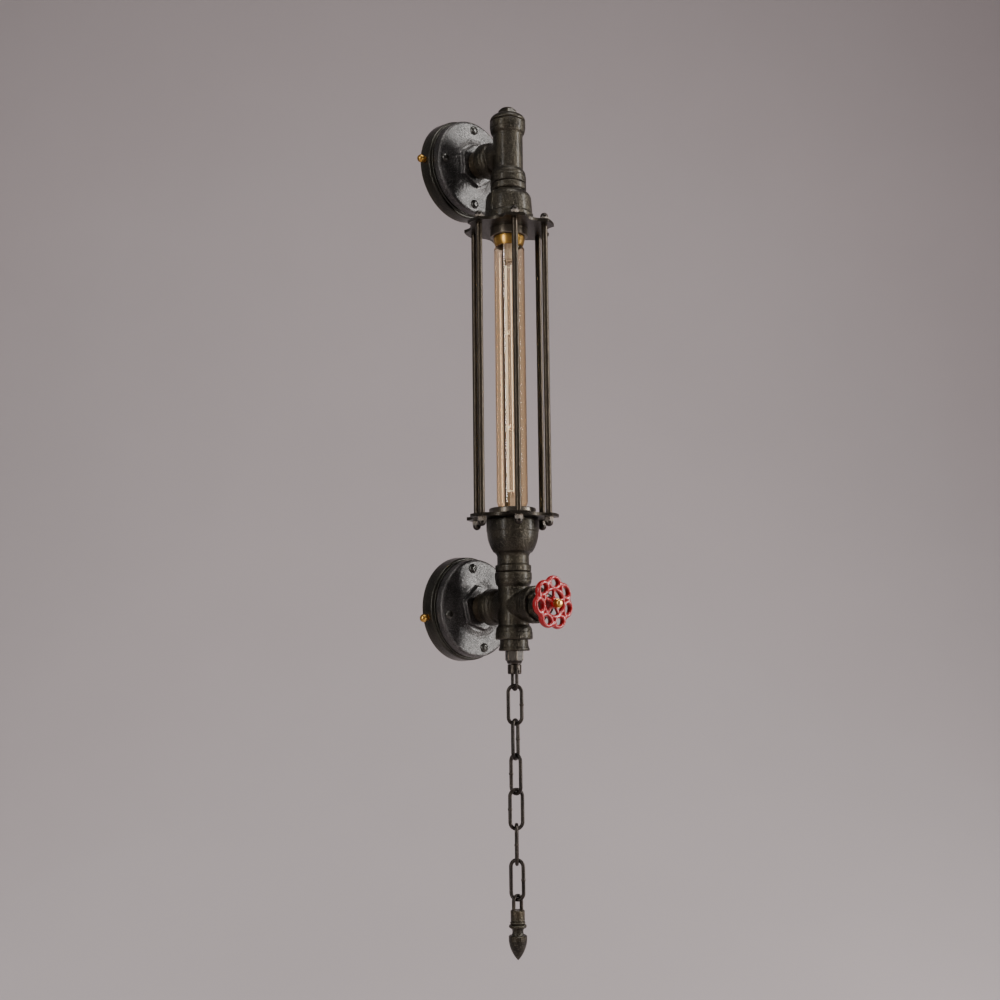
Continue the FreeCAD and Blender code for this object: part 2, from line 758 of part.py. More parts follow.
def filament_supports():
    """Spiders of fine wire from the stem out past the strands."""
    high, low = filament_span()
    arms = []
    for share in support_levels:
        level = high + (low - high) * share
        start = stem_rod_d / 2 + support_wire_d / 2
        arm = Part.makeCylinder(support_wire_d / 2, filament_pcd / 2 + support_past - start,
                                V(start, 0, level), V(1, 0, support_rise))
        arms += spread(arm, 0, support_arms, 30)
    return arms


def collar():
    """Ring on the lower plate round the lamp's end."""
    outer_r = collar_d / 2
    bore_r = collar_bore_d / 2
    low = lower_plate_top_z
    high = low + collar_tall
    return turned((bore_r, low), [
        (outer_r, low), (outer_r, high - 1.2), ((outer_r - 0.4, high - 0.3), (outer_r - 1.2, high)),
        (bore_r + 0.6, high), (bore_r, high - 0.6)])


def cushion():
    """Rubber ring between the collar and the glass."""
    low = lower_plate_top_z
    return tube(collar_bore_d - 2 * seat_gap, lamp_glass_d + 2 * seat_gap, low, low + cushion_tall)


# Hand wheel and its spindle, built along +Z with heights measured out from the wall

def bonnet():
    """Threaded bonnet in the front of the cross."""
    face = cross_front_out
    hex_top = face + bonnet_hex_tall
    low = face - thread_engaged
    stem_r = spindle_d / 2 + running_gap
    body = united([rod(thread_d, low, face), hexagon(bonnet_flats, face, hex_top, 30),
                   rod(bonnet_boss_d, hex_top - 1, hex_top + bonnet_boss_tall)])
    return body.cut([rod(bonnet_bore_d, low - 1, face + bonnet_seat_at), rod(2 * stem_r, low, hex_top + 9)])


def packing_nut():
    """Nut over the bonnet's boss that holds the packing round the spindle."""
    low = cross_front_out + bonnet_hex_tall
    high = low + packing_tall
    nut = hexagon(packing_flats, low, high)
    boss = rod(bonnet_boss_d + 2 * seat_gap, low - 1, low + bonnet_boss_tall + seat_gap)
    return nut.cut([boss, rod(spindle_d + 2 * running_gap, low, high + 1)])


def wheel_back_out():
    """Where the wheel's hub begins."""
    return cross_front_out + bonnet_hex_tall + packing_tall + wheel_back_gap


def spindle():
    """Stem with a collar inside the bonnet and a thread for the wheel's nut."""
    low = cross_front_out - spindle_inside
    back = wheel_back_out()
    hub_top = back + wheel_hub_tall
    collar_top = cross_front_out + bonnet_seat_at - running_gap
    collar_low = collar_top - spindle_collar_thick
    stem_r = spindle_d / 2
    collar_r = spindle_collar_d / 2
    thread_r = spindle_thread_d / 2
    return turned((0, low), [
        (stem_r - 0.5, low), (stem_r, low + 0.5), (stem_r, collar_low), (collar_r, collar_low),
        (collar_r, collar_top), (stem_r, collar_top), (stem_r, back), (thread_r, back),
        (thread_r, hub_top + wheel_nut_hex_tall), (0, hub_top + wheel_nut_hex_tall)])


def rim_loop():
    """One lobe of the rim: a ring of upright rounded section round its window."""
    inner_r = wheel_lobe_hole_d / 2
    outer_r = inner_r + wheel_rim_wide
    middle_r = (inner_r + outer_r) / 2
    half = wheel_rim_deep / 2
    flat = half - wheel_rim_wide * 0.42
    return turned((inner_r, -flat), [
        ((middle_r, -half), (outer_r, -flat)), (outer_r, flat), ((middle_r, half), (inner_r, flat))])


def hand_wheel():
    """Openwork hand wheel: seven lobes round a scalloped ring, five spokes and a hub."""
    back = wheel_back_out()
    middle = back + wheel_hub_tall * 0.45
    lobe_at = wheel_d / 2 - wheel_rim_wide - wheel_lobe_hole_d / 2
    lobes = spread(rim_loop(), lobe_at, wheel_lobes, 90 + wheel_lobe_first)
    spoke_end = lobe_at - wheel_lobe_hole_d / 2 - 0.1
    spoke = Part.makeBox(spoke_end - 1, wheel_spoke_wide, wheel_spoke_deep,
                         V(1, -wheel_spoke_wide / 2, -wheel_spoke_deep / 2))
    spoke = spoke.makeFillet(1.2, [edge for edge in spoke.Edges if abs(edge.tangentAt(0).x) > 0.9])
    spokes = spread(spoke, 0, wheel_spokes, 90 + wheel_spoke_first)
    web = united(lobes + spokes)
    web.translate(V(0, 0, middle))
    hub_r = wheel_hub_d / 2
    hub_top = back + wheel_hub_tall
    hub = turned((0, back), [
        (hub_r - 0.8, back), (hub_r, back + 0.8), (hub_r, middle + 2.5), (hub_r - 1.2, hub_top - 0.5),
        (hub_r - 1.7, hub_top), (0, hub_top)])
    return united([web, hub]).cut(rod(spindle_thread_d + 2 * seat_gap, back - 1, hub_top + 1))


def wheel_nut():
    """Brass dome nut on the front of the hub."""
    nut = dome_nut(wheel_nut_flats, wheel_nut_hex_tall, wheel_nut_tall, spindle_thread_d + 2 * seat_gap,
                   wheel_nut_hex_tall + 0.2)
    nut.translate(V(0, 0, wheel_back_out() + wheel_hub_tall))
    return nut


# Pull switch

def bushing():
    """Flared bushing in the bottom of the cross."""
    top_r = bushing_top_d / 2
    rim_r = bushing_rim_d / 2
    bore_r = switch_d / 2 + seat_gap
    rim_top = bushing_low_z + bushing_rim_tall
    return turned((bore_r, cross_low_z + thread_engaged), [
        (thread_d / 2, cross_low_z + thread_engaged), (thread_d / 2, cross_low_z), (top_r, cross_low_z),
        (top_r, cross_low_z - 2.5), ((top_r + 0.3, rim_top + 2.6), (rim_r, rim_top)),
        (rim_r, bushing_low_z + 0.7), (rim_r - 0.7, bushing_low_z), (bore_r, bushing_low_z)])


def switch_body():
    """Switch case above the gland, open below for the plunger and spring."""
    case = rod(switch_d, switch_low_z, switch_top_z)
    room = rod(switch_d - 2 * switch_wall, switch_low_z - 1, switch_top_z - switch_wall)
    return case.cut(room)


def switch_gland():
    """Hexagonal gland under the bushing that closes the switch and guides the plunger."""
    corner_r = gland_end_d / 2
    upper = rod(switch_d, gland_hex_low_z + gland_hex_tall - 1, switch_low_z)
    taper = turned((0, gland_hex_low_z + 0.5), [
        (gland_flats / 2, gland_hex_low_z + 0.5), (gland_flats / 2, gland_hex_low_z), (corner_r, gland_low_z),
        (0, gland_low_z)])
    body = united([upper, hexagon(gland_flats, gland_hex_low_z, bushing_low_z), taper])
    return body.cut(rod(plunger_d + 2 * running_gap, gland_low_z - 1, switch_low_z + 1))


def plunger():
    """Sliding stem with a collar in the switch, a slotted head below the gland and the chain's eye."""
    collar_low = switch_low_z + spring_tall
    collar_top = collar_low + plunger_collar_thick
    stem = rod(plunger_d, pull_head_top_z - 1, collar_low + 1)
    ring = rod(plunger_collar_d, collar_low, collar_top)
    head_r = pull_head_d / 2
    head = turned((0, pull_head_top_z), [
        (head_r - 0.8, pull_head_top_z), (head_r, pull_head_top_z - 0.8), (head_r, pull_head_low_z + 0.8),
        (head_r - 0.8, pull_head_low_z), (0, pull_head_low_z)])
    slot = Part.makeBox(pull_head_d + 2, pull_head_slot, pull_head_slot_deep,
                        V(-pull_head_d / 2 - 1, -pull_head_slot / 2, pull_head_low_z))
    slot.rotate(V(0, 0, 0), V(0, 0, 1), link_first_turn - link_turn)
    return united([stem, ring, head.cut(slot), pull_eye()])


def return_spring():
    """Compression spring round the plunger between its collar and the gland."""
    inner_d = plunger_d + 1.6
    return tube(inner_d + 2 * spring_wall, inner_d, switch_low_z, switch_low_z + spring_tall)


def round_bend(wire_d, bend_r):
    """Half ring of round wire in the XZ plane, its crown on -Z, centred on the origin."""
    section = Part.Face(Part.Wire(Part.Circle(V(bend_r, 0, 0), V(0, 0, 1), wire_d / 2).toShape()))
    return section.revolve(V(0, 0, 0), V(0, 1, 0), 180)


def wire_loop(wide, wire_d, inner_long):
    """Closed long link in the XZ plane with its upper inner crown at height 0."""
    bend_r = (wide - wire_d) / 2
    inside_r = bend_r - wire_d / 2
    low_centre = -inner_long + inside_r
    high_centre = -inside_r
    lower = round_bend(wire_d, bend_r)
    lower.translate(V(0, 0, low_centre))
    upper = round_bend(wire_d, bend_r)
    upper.rotate(V(0, 0, 0), V(0, 1, 0), 180)
    upper.translate(V(0, 0, high_centre))
    sides = []
    for x in (-bend_r, bend_r):
        sides.append(Part.makeCylinder(wire_d / 2, high_centre - low_centre, V(x, 0, low_centre)))
    return united([lower, upper] + sides)


def pull_eye():
    """Eye in the plunger's head that the chain hangs from."""
    bend_r = (eye_wide - eye_wire_d) / 2
    centre = first_bearing_z - link_slack / 2 + bend_r - eye_wire_d / 2
    top = pull_head_low_z + pull_head_slot_deep
    bend = round_bend(eye_wire_d, bend_r)
    bend.translate(V(0, 0, centre))
    legs = []
    for x in (-bend_r, bend_r):
        legs.append(Part.makeCylinder(eye_wire_d / 2, top - centre, V(x, 0, centre)))
    eye = united([bend] + legs)
    eye.rotate(V(0, 0, 0), V(0, 0, 1), link_first_turn - link_turn)
    return eye


def chain_link(index):
    """Long link number index, hanging in the one above it."""
    link = wire_loop(link_wide, link_wire_d, link_pitch + link_slack)
    link.translate(V(0, 0, bearing_z(index) + link_slack / 2))
    link.rotate(V(0, 0, 0), V(0, 0, 1), link_first_turn + index * link_turn)
    return link


def finial_eye():
    """Eye at the top of the finial, closed through the last link."""
    bend_r = (finial_eye_wide - finial_eye_wire_d) / 2
    top = bearing_z(link_count) + link_slack / 2
    centre = top - bend_r + finial_eye_wire_d / 2
    low = top - finial_eye_drop
    bend = round_bend(finial_eye_wire_d, bend_r)
    bend.rotate(V(0, 0, 0), V(0, 1, 0), 180)
    bend.translate(V(0, 0, centre))
    legs = []
    for x in (-bend_r, bend_r):
        legs.append(Part.makeCylinder(finial_eye_wire_d / 2, centre - low, V(x, 0, low)))
    eye = united([bend] + legs)
    eye.rotate(V(0, 0, 0), V(0, 0, 1), link_first_turn + link_count * link_turn)
    return eye


def finial():
    """Turned pull: a round top, a bead and a ring, a neck and a pointed drop."""
    top = bearing_z(link_count) + link_slack / 2 - finial_eye_drop
    top_r = finial_d / 2
    bead_r = finial_bead_d / 2
    ring_r = finial_ring_d / 2
    neck_r = finial_neck_d / 2
    drop_r = finial_drop_d / 2
    bead_top = top - finial_top_tall
    ring_top = bead_top - finial_bead_tall
    neck_top = ring_top - finial_ring_tall
    drop_top = neck_top - finial_neck_tall
    tip = drop_top - finial_drop_tall
    return turned((0, top), [
        (top_r - 0.8, top), (top_r, top - 0.8), (top_r, bead_top + 0.4), (top_r - 0.6, bead_top),
        ((bead_r, (bead_top + ring_top) / 2), (top_r - 0.6, ring_top)),
        ((ring_r, (ring_top + neck_top) / 2), (neck_r, neck_top)), ((neck_r - 0.9, neck_top - 2.6), (neck_r, drop_top)),
        (drop_r - 0.7, drop_top), (drop_r, drop_top - 0.8), (drop_r, drop_top - 4.5),
        ((drop_r * 0.76, tip + finial_drop_tall * 0.42), (tip_flat_d / 2, tip)), (0, tip)])


def plate_nodes(side, z, turn):
    """The pieces of one wall plate, each turned about the plate's centre line."""
    makers = {"wall_strap": wall_strap, "canopy": canopy, "flange": flange, "flange_screws": flange_screws,
              "flange_nuts": flange_nuts, "side_knobs": side_knobs, "wall_nipple": wall_nipple}
    nodes = {}
    for name, maker in makers.items():
        shape = maker()
        shape.rotate(V(0, 0, 0), V(0, 0, 1), turn)
        nodes[side + "_" + name] = outward(shape, z)
    return nodes


def pipe_nodes():
    """Fittings on the pipe axis."""
    back = 270
    front = 90
    return {
        "domed_plug": on_axis(domed_plug(), tee_z),
        "tee": on_axis(fitting([back]), tee_z),
        "upper_run_nipple": on_axis(run_nipple(bell_top_z)),
        "upper_reducer": on_axis(upper_reducer(), bell_top_z),
        "lower_reducer": on_axis(lower_reducer(), lower_plate_low_z),
        "lower_run_nipple": on_axis(run_nipple(cup_low_z)),
        "cross": on_axis(fitting([back, front]), cross_z),
    }


def cage_nodes():
    """Plates, rods and nuts of the cage."""
    nodes = {
        "upper_cage_plate": on_axis(cage_plate(holder_d + 2 * seat_gap), upper_plate_low_z),
        "lower_cage_plate": on_axis(cage_plate(lower_vent_d), lower_plate_low_z),
        "upper_cage_nuts": on_axis(cage_nuts(True), upper_plate_top_z),
        "lower_cage_nuts": on_axis(cage_nuts(False), lower_plate_low_z),
    }
    for k, shape in enumerate(spread(cage_rod(), rod_pcd / 2, lobe_count, -90 - lobe_first)):
        nodes["cage_rod_%d" % (k + 1)] = on_axis(shape)
    return nodes


def lamp_nodes():
    """Lamp holder, lamp, and the ring that steadies its lower end."""
    makers = {"lamp_holder": lamp_holder, "holder_ring": holder_ring, "holder_insulator": holder_insulator,
              "centre_contact": centre_contact, "screw_shell": screw_shell, "lamp_base": lamp_base,
              "lamp_glass": lamp_glass, "lamp_stem": lamp_stem, "filament": filament,
              "collar": collar, "cushion": cushion}
    return {name: on_axis(maker()) for name, maker in makers.items()}


def wheel_nodes():
    """Bonnet, packing nut, spindle, wheel and nut."""
    makers = {"bonnet": bonnet, "packing_nut": packing_nut, "spindle": spindle, "hand_wheel": hand_wheel,
              "wheel_nut": wheel_nut}
    return {name: outward(maker(), cross_z) for name, maker in makers.items()}


def pull_nodes():
    """Bushing, switch, plunger, chain and finial."""
    makers = {"bushing": bushing, "switch_body": switch_body, "switch_gland": switch_gland,
              "plunger": plunger, "return_spring": return_spring, "finial_eye": finial_eye, "finial": finial}
    nodes = {name: on_axis(maker()) for name, maker in makers.items()}
    for index in range(link_count):
        nodes["chain_link_%d" % (index + 1)] = on_axis(chain_link(index))
    return nodes


def main():
    """Build every node and write one file for each."""
    os.makedirs("parts", exist_ok=True)
    nodes = {}
    nodes.update(plate_nodes("upper", tee_z, 0.0))
    nodes.update(plate_nodes("lower", cross_z, lower_plate_turn))
    nodes.update(pipe_nodes())
    nodes.update(cage_nodes())
    nodes.update(lamp_nodes())
    nodes.update(wheel_nodes())
    nodes.update(pull_nodes())
    triangles = 0
    for name, shape in sorted(nodes.items()):
        shape.exportStep(os.path.join("parts", name + ".step"))
        count = len(shape.tessellate(0.1)[1])
        triangles += count
        print("%-22s solids %d valid %s triangles %d" % (name, len(shape.Solids), shape.isValid(), count))
    print("nodes", len(nodes), "triangles", triangles)


main()
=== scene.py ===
"""Industrial pipe wall light: finishes, softened castings, hand wheel, small fittings, studio and camera.

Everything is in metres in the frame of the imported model: the wall is the plane Y = 0, the light
stands out towards -Y, +Z is up and the origin is the centre of the upper wall plate.
"""
import json
import logging
import math
from dataclasses import dataclass, field
from enum import Enum

import bmesh
import bpy
from mathutils import Matrix, Vector


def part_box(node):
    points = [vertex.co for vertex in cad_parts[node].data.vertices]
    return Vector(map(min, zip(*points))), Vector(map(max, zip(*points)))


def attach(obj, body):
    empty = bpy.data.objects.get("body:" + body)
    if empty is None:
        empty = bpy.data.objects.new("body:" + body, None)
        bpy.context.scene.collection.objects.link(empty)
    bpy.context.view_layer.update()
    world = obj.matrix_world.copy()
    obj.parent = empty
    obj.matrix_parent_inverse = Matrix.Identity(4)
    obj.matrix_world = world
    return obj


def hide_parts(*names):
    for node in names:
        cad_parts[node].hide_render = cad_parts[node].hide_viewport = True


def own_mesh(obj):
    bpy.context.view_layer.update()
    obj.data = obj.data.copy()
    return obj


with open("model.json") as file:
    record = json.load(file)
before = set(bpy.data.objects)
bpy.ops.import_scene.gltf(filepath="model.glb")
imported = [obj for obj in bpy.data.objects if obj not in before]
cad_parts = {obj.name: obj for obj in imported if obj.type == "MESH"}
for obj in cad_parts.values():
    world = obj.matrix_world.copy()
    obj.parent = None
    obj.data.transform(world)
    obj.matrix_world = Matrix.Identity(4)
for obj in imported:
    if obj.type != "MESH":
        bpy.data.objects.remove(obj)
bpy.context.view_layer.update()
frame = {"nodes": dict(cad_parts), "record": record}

LOG = logging.getLogger("wall_light")
MM = 0.001
BALL_RINGS = 12
SMOOTHING = 0.5
BLACK = (0.0, 0.0, 0.0)
WHITE = (1.0, 1.0, 1.0)
WASH_TINT = (1.0, 0.985, 0.985)

Colour = tuple[float, float, float]
Point = tuple[float, float, float]
Span = tuple[float, float]

# Materials by finish. They aren't looked up in bpy.data, because the frame brings materials of its own.
MADE: dict[str, bpy.types.Material] = {}


class Side(Enum):
    """The two wall plates."""

    UPPER = "upper"
    LOWER = "lower"


class Bench:
    """Short calls for selecting, editing and finishing mesh pieces."""

    @staticmethod
    def clear() -> None:
        """Leave edit mode and deselect everything."""
        if bpy.context.object and bpy.context.object.mode != "OBJECT":
            bpy.ops.object.mode_set(mode="OBJECT")
        bpy.ops.object.select_all(action="DESELECT")

    @staticmethod
    def activate(piece: bpy.types.Object) -> None:
        """Select one piece alone and make it active."""
        Bench.clear()
        piece.select_set(True)
        bpy.context.view_layer.objects.active = piece

    @staticmethod
    def settle(piece: bpy.types.Object) -> None:
        """Apply the piece's place, turn and scale to its mesh."""
        Bench.activate(piece)
        bpy.ops.object.transform_apply(location=True, rotation=True, scale=True)

    @staticmethod
    def apply(piece: bpy.types.Object, kind: str, **settings: object) -> None:
        """Add one modifier and apply it.

        Args:
            piece: the mesh object.
            kind: the modifier's type.
            settings: values set on the modifier before it is applied.
        """
        Bench.activate(piece)
        modifier = piece.modifiers.new(kind.title(), kind)
        for name, value in settings.items():
            setattr(modifier, name, value)
        bpy.ops.object.modifier_apply(modifier=modifier.name)

    @staticmethod
    def shade(piece: bpy.types.Object, angle: float = 40.0) -> None:
        """Shade the piece smooth, with edges over the angle kept sharp."""
        Bench.activate(piece)
        bpy.ops.object.shade_smooth_by_angle(angle=math.radians(angle))

    @staticmethod
    def smooth(piece: bpy.types.Object) -> None:
        """Shade every face of the piece smooth."""
        for polygon in piece.data.polygons:
            polygon.use_smooth = True

    @staticmethod
    def ball(name: str, centre: Point, radius: float, stretch: float, segments: int) -> bpy.types.Object:
        """Ball drawn out along Z, shaded smooth.

        Args:
            name: the piece's name.
            centre: its centre.
            radius: its radius across.
            stretch: its half height as a share of the radius.
            segments: faces round it.

        Returns:
            The new piece.
        """
        Bench.clear()
        bpy.ops.mesh.primitive_uv_sphere_add(segments=segments, ring_count=BALL_RINGS, radius=radius,
                                             location=centre)
        piece = bpy.context.object
        piece.name = name
        bpy.ops.object.mode_set(mode="EDIT")
        bpy.ops.mesh.select_all(action="SELECT")
        bpy.ops.transform.resize(value=(1.0, 1.0, stretch), center_override=centre)
        bpy.ops.object.mode_set(mode="OBJECT")
        Bench.settle(piece)
        Bench.shade(piece)
        return piece


class Graph:
    """A material's node tree with one Principled shader and short calls for its inputs."""

    def __init__(self, name: str) -> None:
        """Start a material under a name."""
        self.material = bpy.data.materials.new(name)
        self.material.use_nodes = True
        self.tree = self.material.node_tree
        self.tree.nodes.clear()
        self.output = self.tree.nodes.new("ShaderNodeOutputMaterial")
        self.shader = self.tree.nodes.new("ShaderNodeBsdfPrincipled")
        self.tree.links.new(self.shader.outputs["BSDF"], self.output.inputs["Surface"])
        self.coords = self.tree.nodes.new("ShaderNodeTexCoord").outputs["Object"]

    def constant(self, **values: object) -> None:
        """Set fixed values on the shader's sockets; underscores stand for spaces."""
        for name, value in values.items():
            self.shader.inputs[name.replace("_", " ")].default_value = value

    def noise(self, scale: float, detail: float = 3.0, rough: float = 0.55) -> bpy.types.NodeSocket:
        """Noise of a scale in waves per metre.

        Returns:
            The factor socket.
        """
        node = self.tree.nodes.new("ShaderNodeTexNoise")
        node.inputs["Scale"].default_value = scale
        node.inputs["Detail"].default_value = detail
        node.inputs["Roughness"].default_value = rough
        self.tree.links.new(self.coords, node.inputs["Vector"])
        return node.outputs["Fac"]

    def ramp(self, source: bpy.types.NodeSocket, stops: list[tuple[float, Colour]]) -> bpy.types.NodeSocket:
        """Colour ramp over a factor.

        Args:
            source: the factor.
            stops: positions with their colours, in order.

        Returns:
            The colour socket.
        """
        node = self.tree.nodes.new("ShaderNodeValToRGB")
        ramp = node.color_ramp
        while len(ramp.elements) < len(stops):
            ramp.elements.new(0.5)
        for element, (position, colour) in zip(ramp.elements, stops):
            element.position = position
            element.color = (*colour, 1.0)
        self.tree.links.new(source, node.inputs["Fac"])
        return node.outputs["Color"]

    def even(self, source: bpy.types.NodeSocket, colour: Colour) -> bpy.types.NodeSocket:
        """One colour at every factor.

        Returns:
            The colour socket.
        """
        return self.ramp(source, [(0.0, colour), (1.0, colour)])

    def blend(self, factor: bpy.types.NodeSocket, first: bpy.types.NodeSocket,
              second: bpy.types.NodeSocket) -> bpy.types.NodeSocket:
        """Mix two colour sockets by a factor.

        Returns:
            The mixed colour socket.
        """
        node = self.tree.nodes.new("ShaderNodeMix")
        node.data_type = "RGBA"
        self.tree.links.new(factor, node.inputs[0])
        self.tree.links.new(first, node.inputs[6])
        self.tree.links.new(second, node.inputs[7])
        return node.outputs[2]

    def spread(self, source: bpy.types.NodeSocket, low: float, high: float) -> bpy.types.NodeSocket:
        """Map a factor from 0 to 1 onto a range.

        Returns:
            The mapped socket.
        """
        node = self.tree.nodes.new("ShaderNodeMapRange")
        node.inputs["To Min"].default_value = low
        node.inputs["To Max"].default_value = high
        self.tree.links.new(source, node.inputs["Value"])
        return node.outputs["Result"]

    def edges(self, low: float, high: float) -> bpy.types.NodeSocket:
        """Factor that rises on raised edges of the mesh.

        Returns:
            The factor socket.
        """
        geometry = self.tree.nodes.new("ShaderNodeNewGeometry")
        node = self.tree.nodes.new("ShaderNodeMapRange")
        node.inputs["From Min"].default_value = low
        node.inputs["From Max"].default_value = high
        self.tree.links.new(geometry.outputs["Pointiness"], node.inputs["Value"])
        return node.outputs["Result"]

    def bump(self, height: bpy.types.NodeSocket, strength: float, depth: float,
             under: bpy.types.NodeSocket | None = None) -> bpy.types.NodeSocket:
        """Bump from a height.

        Args:
            height: the height factor.
            strength: share of the bump that shows.
            depth: depth in metres.
            under: an earlier bump's normal.

        Returns:
            The normal socket.
        """
        node = self.tree.nodes.new("ShaderNodeBump")
        node.inputs["Strength"].default_value = strength
        node.inputs["Distance"].default_value = depth
        self.tree.links.new(height, node.inputs["Height"])
        if under is not None:
            self.tree.links.new(under, node.inputs["Normal"])
        return node.outputs["Normal"]

    def feed(self, name: str, source: bpy.types.NodeSocket) -> None:
        """Link a socket to one of the shader's inputs."""
        self.tree.links.new(source, self.shader.inputs[name])


def fade(span: Span, first: Colour, second: Colour) -> list[tuple[float, Colour]]:
    """Ramp stops that pass from one colour to another over a span.

    Args:
        span: where the first colour ends and where the second begins.
        first: colour below the span.
        second: colour above it.

    Returns:
        The stops, in order.
    """
    return [(span[0], first), (span[1], second)]


@dataclass(frozen=True)
class CastMetal:
    """Painted or blackened metal with patches, grain, small lumps, worn edges and pale specks painted in as
    glints.
    """

    name: str
    deep: Colour
    middle: Colour
    pale: Colour
    worn: Colour
    patch: float = 55.0
    grain: float = 420.0
    grit: float = 1300.0
    grain_depth: float = 0.00035
    grit_depth: float = 0.00012
    rough_low: float = 0.30
    rough_high: float = 0.52
    metallic: float = 0.75
    coat: float = 0.25
    wear: Span = (0.52, 0.60)
    patch_span: Span = (0.34, 0.62)
    # Span and share of the painted glints: pale specks that stand in for sparkle highlights on the lumps.
    glint_span: Span = (0.52, 0.70)
    glint_share: float = 0.55
    worn_span: Span = (0.35, 0.75)
    coat_rough: float = 0.22
    grain_show: float = 0.55
    grit_show: float = 0.45

    def build(self) -> bpy.types.Material:
        """Make the material."""
        graph = Graph(self.name)
        graph.constant(Metallic=self.metallic, Coat_Weight=self.coat, Coat_Roughness=self.coat_rough)
        patches = graph.ramp(graph.noise(self.patch, 4.0), fade(self.patch_span, self.deep, self.middle))
        grain = graph.noise(self.grain, 3.0, 0.6)
        # The pale specks are painted glints: fine noise blends the colour towards pale as painted sparkle
        # highlights on the cast skin.
        glint_grey = (self.glint_share,) * 3
        painted_glints = graph.ramp(graph.noise(self.grit, 2.0), fade(self.glint_span, BLACK, glint_grey))
        lit = graph.even(grain, self.pale)
        body = graph.blend(painted_glints, patches, lit)
        worn = graph.ramp(grain, fade(self.worn_span, self.worn, self.middle))
        graph.feed("Base Color", graph.blend(graph.edges(*self.wear), body, worn))
        graph.feed("Roughness", graph.spread(grain, self.rough_low, self.rough_high))
        lumps = graph.bump(grain, self.grain_show, self.grain_depth)
        grit = graph.noise(self.grit, 2.0)
        graph.feed("Normal", graph.bump(grit, self.grit_show, self.grit_depth, lumps))
        return graph.material


@dataclass(frozen=True)
class Enamel:
    """Thick glossy enamel, darker where it thins on raised edges."""

    name: str
    body: Colour
    thin: Colour
    orange_peel: float = 260.0
    rough: float = 0.32
    coat: float = 0.35
    coat_rough: float = 0.06
    specular: float = 0.30
    shade: float = 0.82
    peel_span: Span = (0.30, 0.75)
    thin_span: Span = (0.56, 0.66)
    peel_show: float = 0.35
    peel_depth: float = 0.00012

    def build(self) -> bpy.types.Material:
        """Make the material."""
        graph = Graph(self.name)
        graph.constant(Metallic=0.0, Roughness=self.rough, Coat_Weight=self.coat,
                       Coat_Roughness=self.coat_rough, Specular_IOR_Level=self.specular)
        peel = graph.noise(self.orange_peel, 2.0)
        shaded = tuple(c * self.shade for c in self.body)
        body = graph.ramp(peel, fade(self.peel_span, self.body, shaded))
        thin = graph.even(peel, self.thin)
        graph.feed("Base Color", graph.blend(graph.edges(*self.thin_span), body, thin))
        graph.feed("Normal", graph.bump(peel, self.peel_show, self.peel_depth))
        return graph.material


@dataclass(frozen=True)
class BareMetal:
    """Bare turned or plated metal with fine scratches and a dull film."""

    name: str
    bright: Colour
    dull: Colour
    rough_low: float = 0.18
    rough_high: float = 0.40
    film: float = 130.0
    scratch: float = 1800.0
    film_span: Span = (0.36, 0.66)
    scratch_show: float = 0.25
    scratch_depth: float = 0.00003

    def build(self) -> bpy.types.Material:
        """Make the material."""
        graph = Graph(self.name)
        graph.constant(Metallic=1.0)
        film = graph.noise(self.film, 4.0, 0.6)
        graph.feed("Base Color", graph.ramp(film, fade(self.film_span, self.dull, self.bright)))
        graph.feed("Roughness", graph.spread(film, self.rough_high, self.rough_low))
        scratches = graph.noise(self.scratch, 2.0)
        graph.feed("Normal", graph.bump(scratches, self.scratch_show, self.scratch_depth))
        return graph.material


@dataclass(frozen=True)
class TintedGlass:
    """Clear glass whose tint starts below a height and deepens where more glass is looked through."""

    name: str
    tint: Colour
    depth_tint: Colour
    density: float
    ripple: float = 35.0
    tint_top: float = -0.095
    tint_full: float = -0.150
    rough: float = 0.015
    refraction: float = 1.46
    ripple_show: float = 0.12
    ripple_depth: float = 0.0004

    def build(self) -> bpy.types.Material:
        """Make the material."""
        graph = Graph(self.name)
        graph.constant(Transmission_Weight=1.0, Roughness=self.rough, IOR=self.refraction)
        split = graph.tree.nodes.new("ShaderNodeSeparateXYZ")
        graph.tree.links.new(graph.coords, split.inputs["Vector"])
        height = graph.tree.nodes.new("ShaderNodeMapRange")
        height.inputs["From Min"].default_value = self.tint_top
        height.inputs["From Max"].default_value = self.tint_full
        graph.tree.links.new(split.outputs["Z"], height.inputs["Value"])
        graph.feed("Base Color", graph.ramp(height.outputs["Result"], [(0.0, WHITE), (1.0, self.tint)]))
        absorb = graph.tree.nodes.new("ShaderNodeVolumeAbsorption")
        absorb.inputs["Color"].default_value = (*self.depth_tint, 1.0)
        absorb.inputs["Density"].default_value = self.density
        graph.tree.links.new(absorb.outputs["Volume"], graph.output.inputs["Volume"])
        ripples = graph.noise(self.ripple, 1.0)
        graph.feed("Normal", graph.bump(ripples, self.ripple_show, self.ripple_depth))
        return graph.material


@dataclass(frozen=True)
class Plain:
    """Moulded or fired material with mottling, a fine grain and an optional painted glow."""

    name: str
    body: Colour
    mottle: Colour
    rough: float
    grain: float = 700.0
    painted_glow: float = 0.0
    mottle_wide: float = 4.0
    mottle_span: Span = (0.35, 0.70)
    grain_show: float = 0.3
    grain_depth: float = 0.00006

    def build(self) -> bpy.types.Material:
        """Make the material."""
        graph = Graph(self.name)
        graph.constant(Roughness=self.rough)
        mottle = graph.noise(self.grain / self.mottle_wide, 3.0)
        graph.feed("Base Color", graph.ramp(mottle, fade(self.mottle_span, self.body, self.mottle)))
        # Emission here is painted light: the part glows though the lamp is not lit.
        if self.painted_glow:
            graph.shader.inputs["Emission Color"].default_value = (*self.body, 1.0)
            graph.constant(Emission_Strength=self.painted_glow)
        graph.feed("Normal", graph.bump(graph.noise(self.grain, 2.0), self.grain_show, self.grain_depth))
        return graph.material


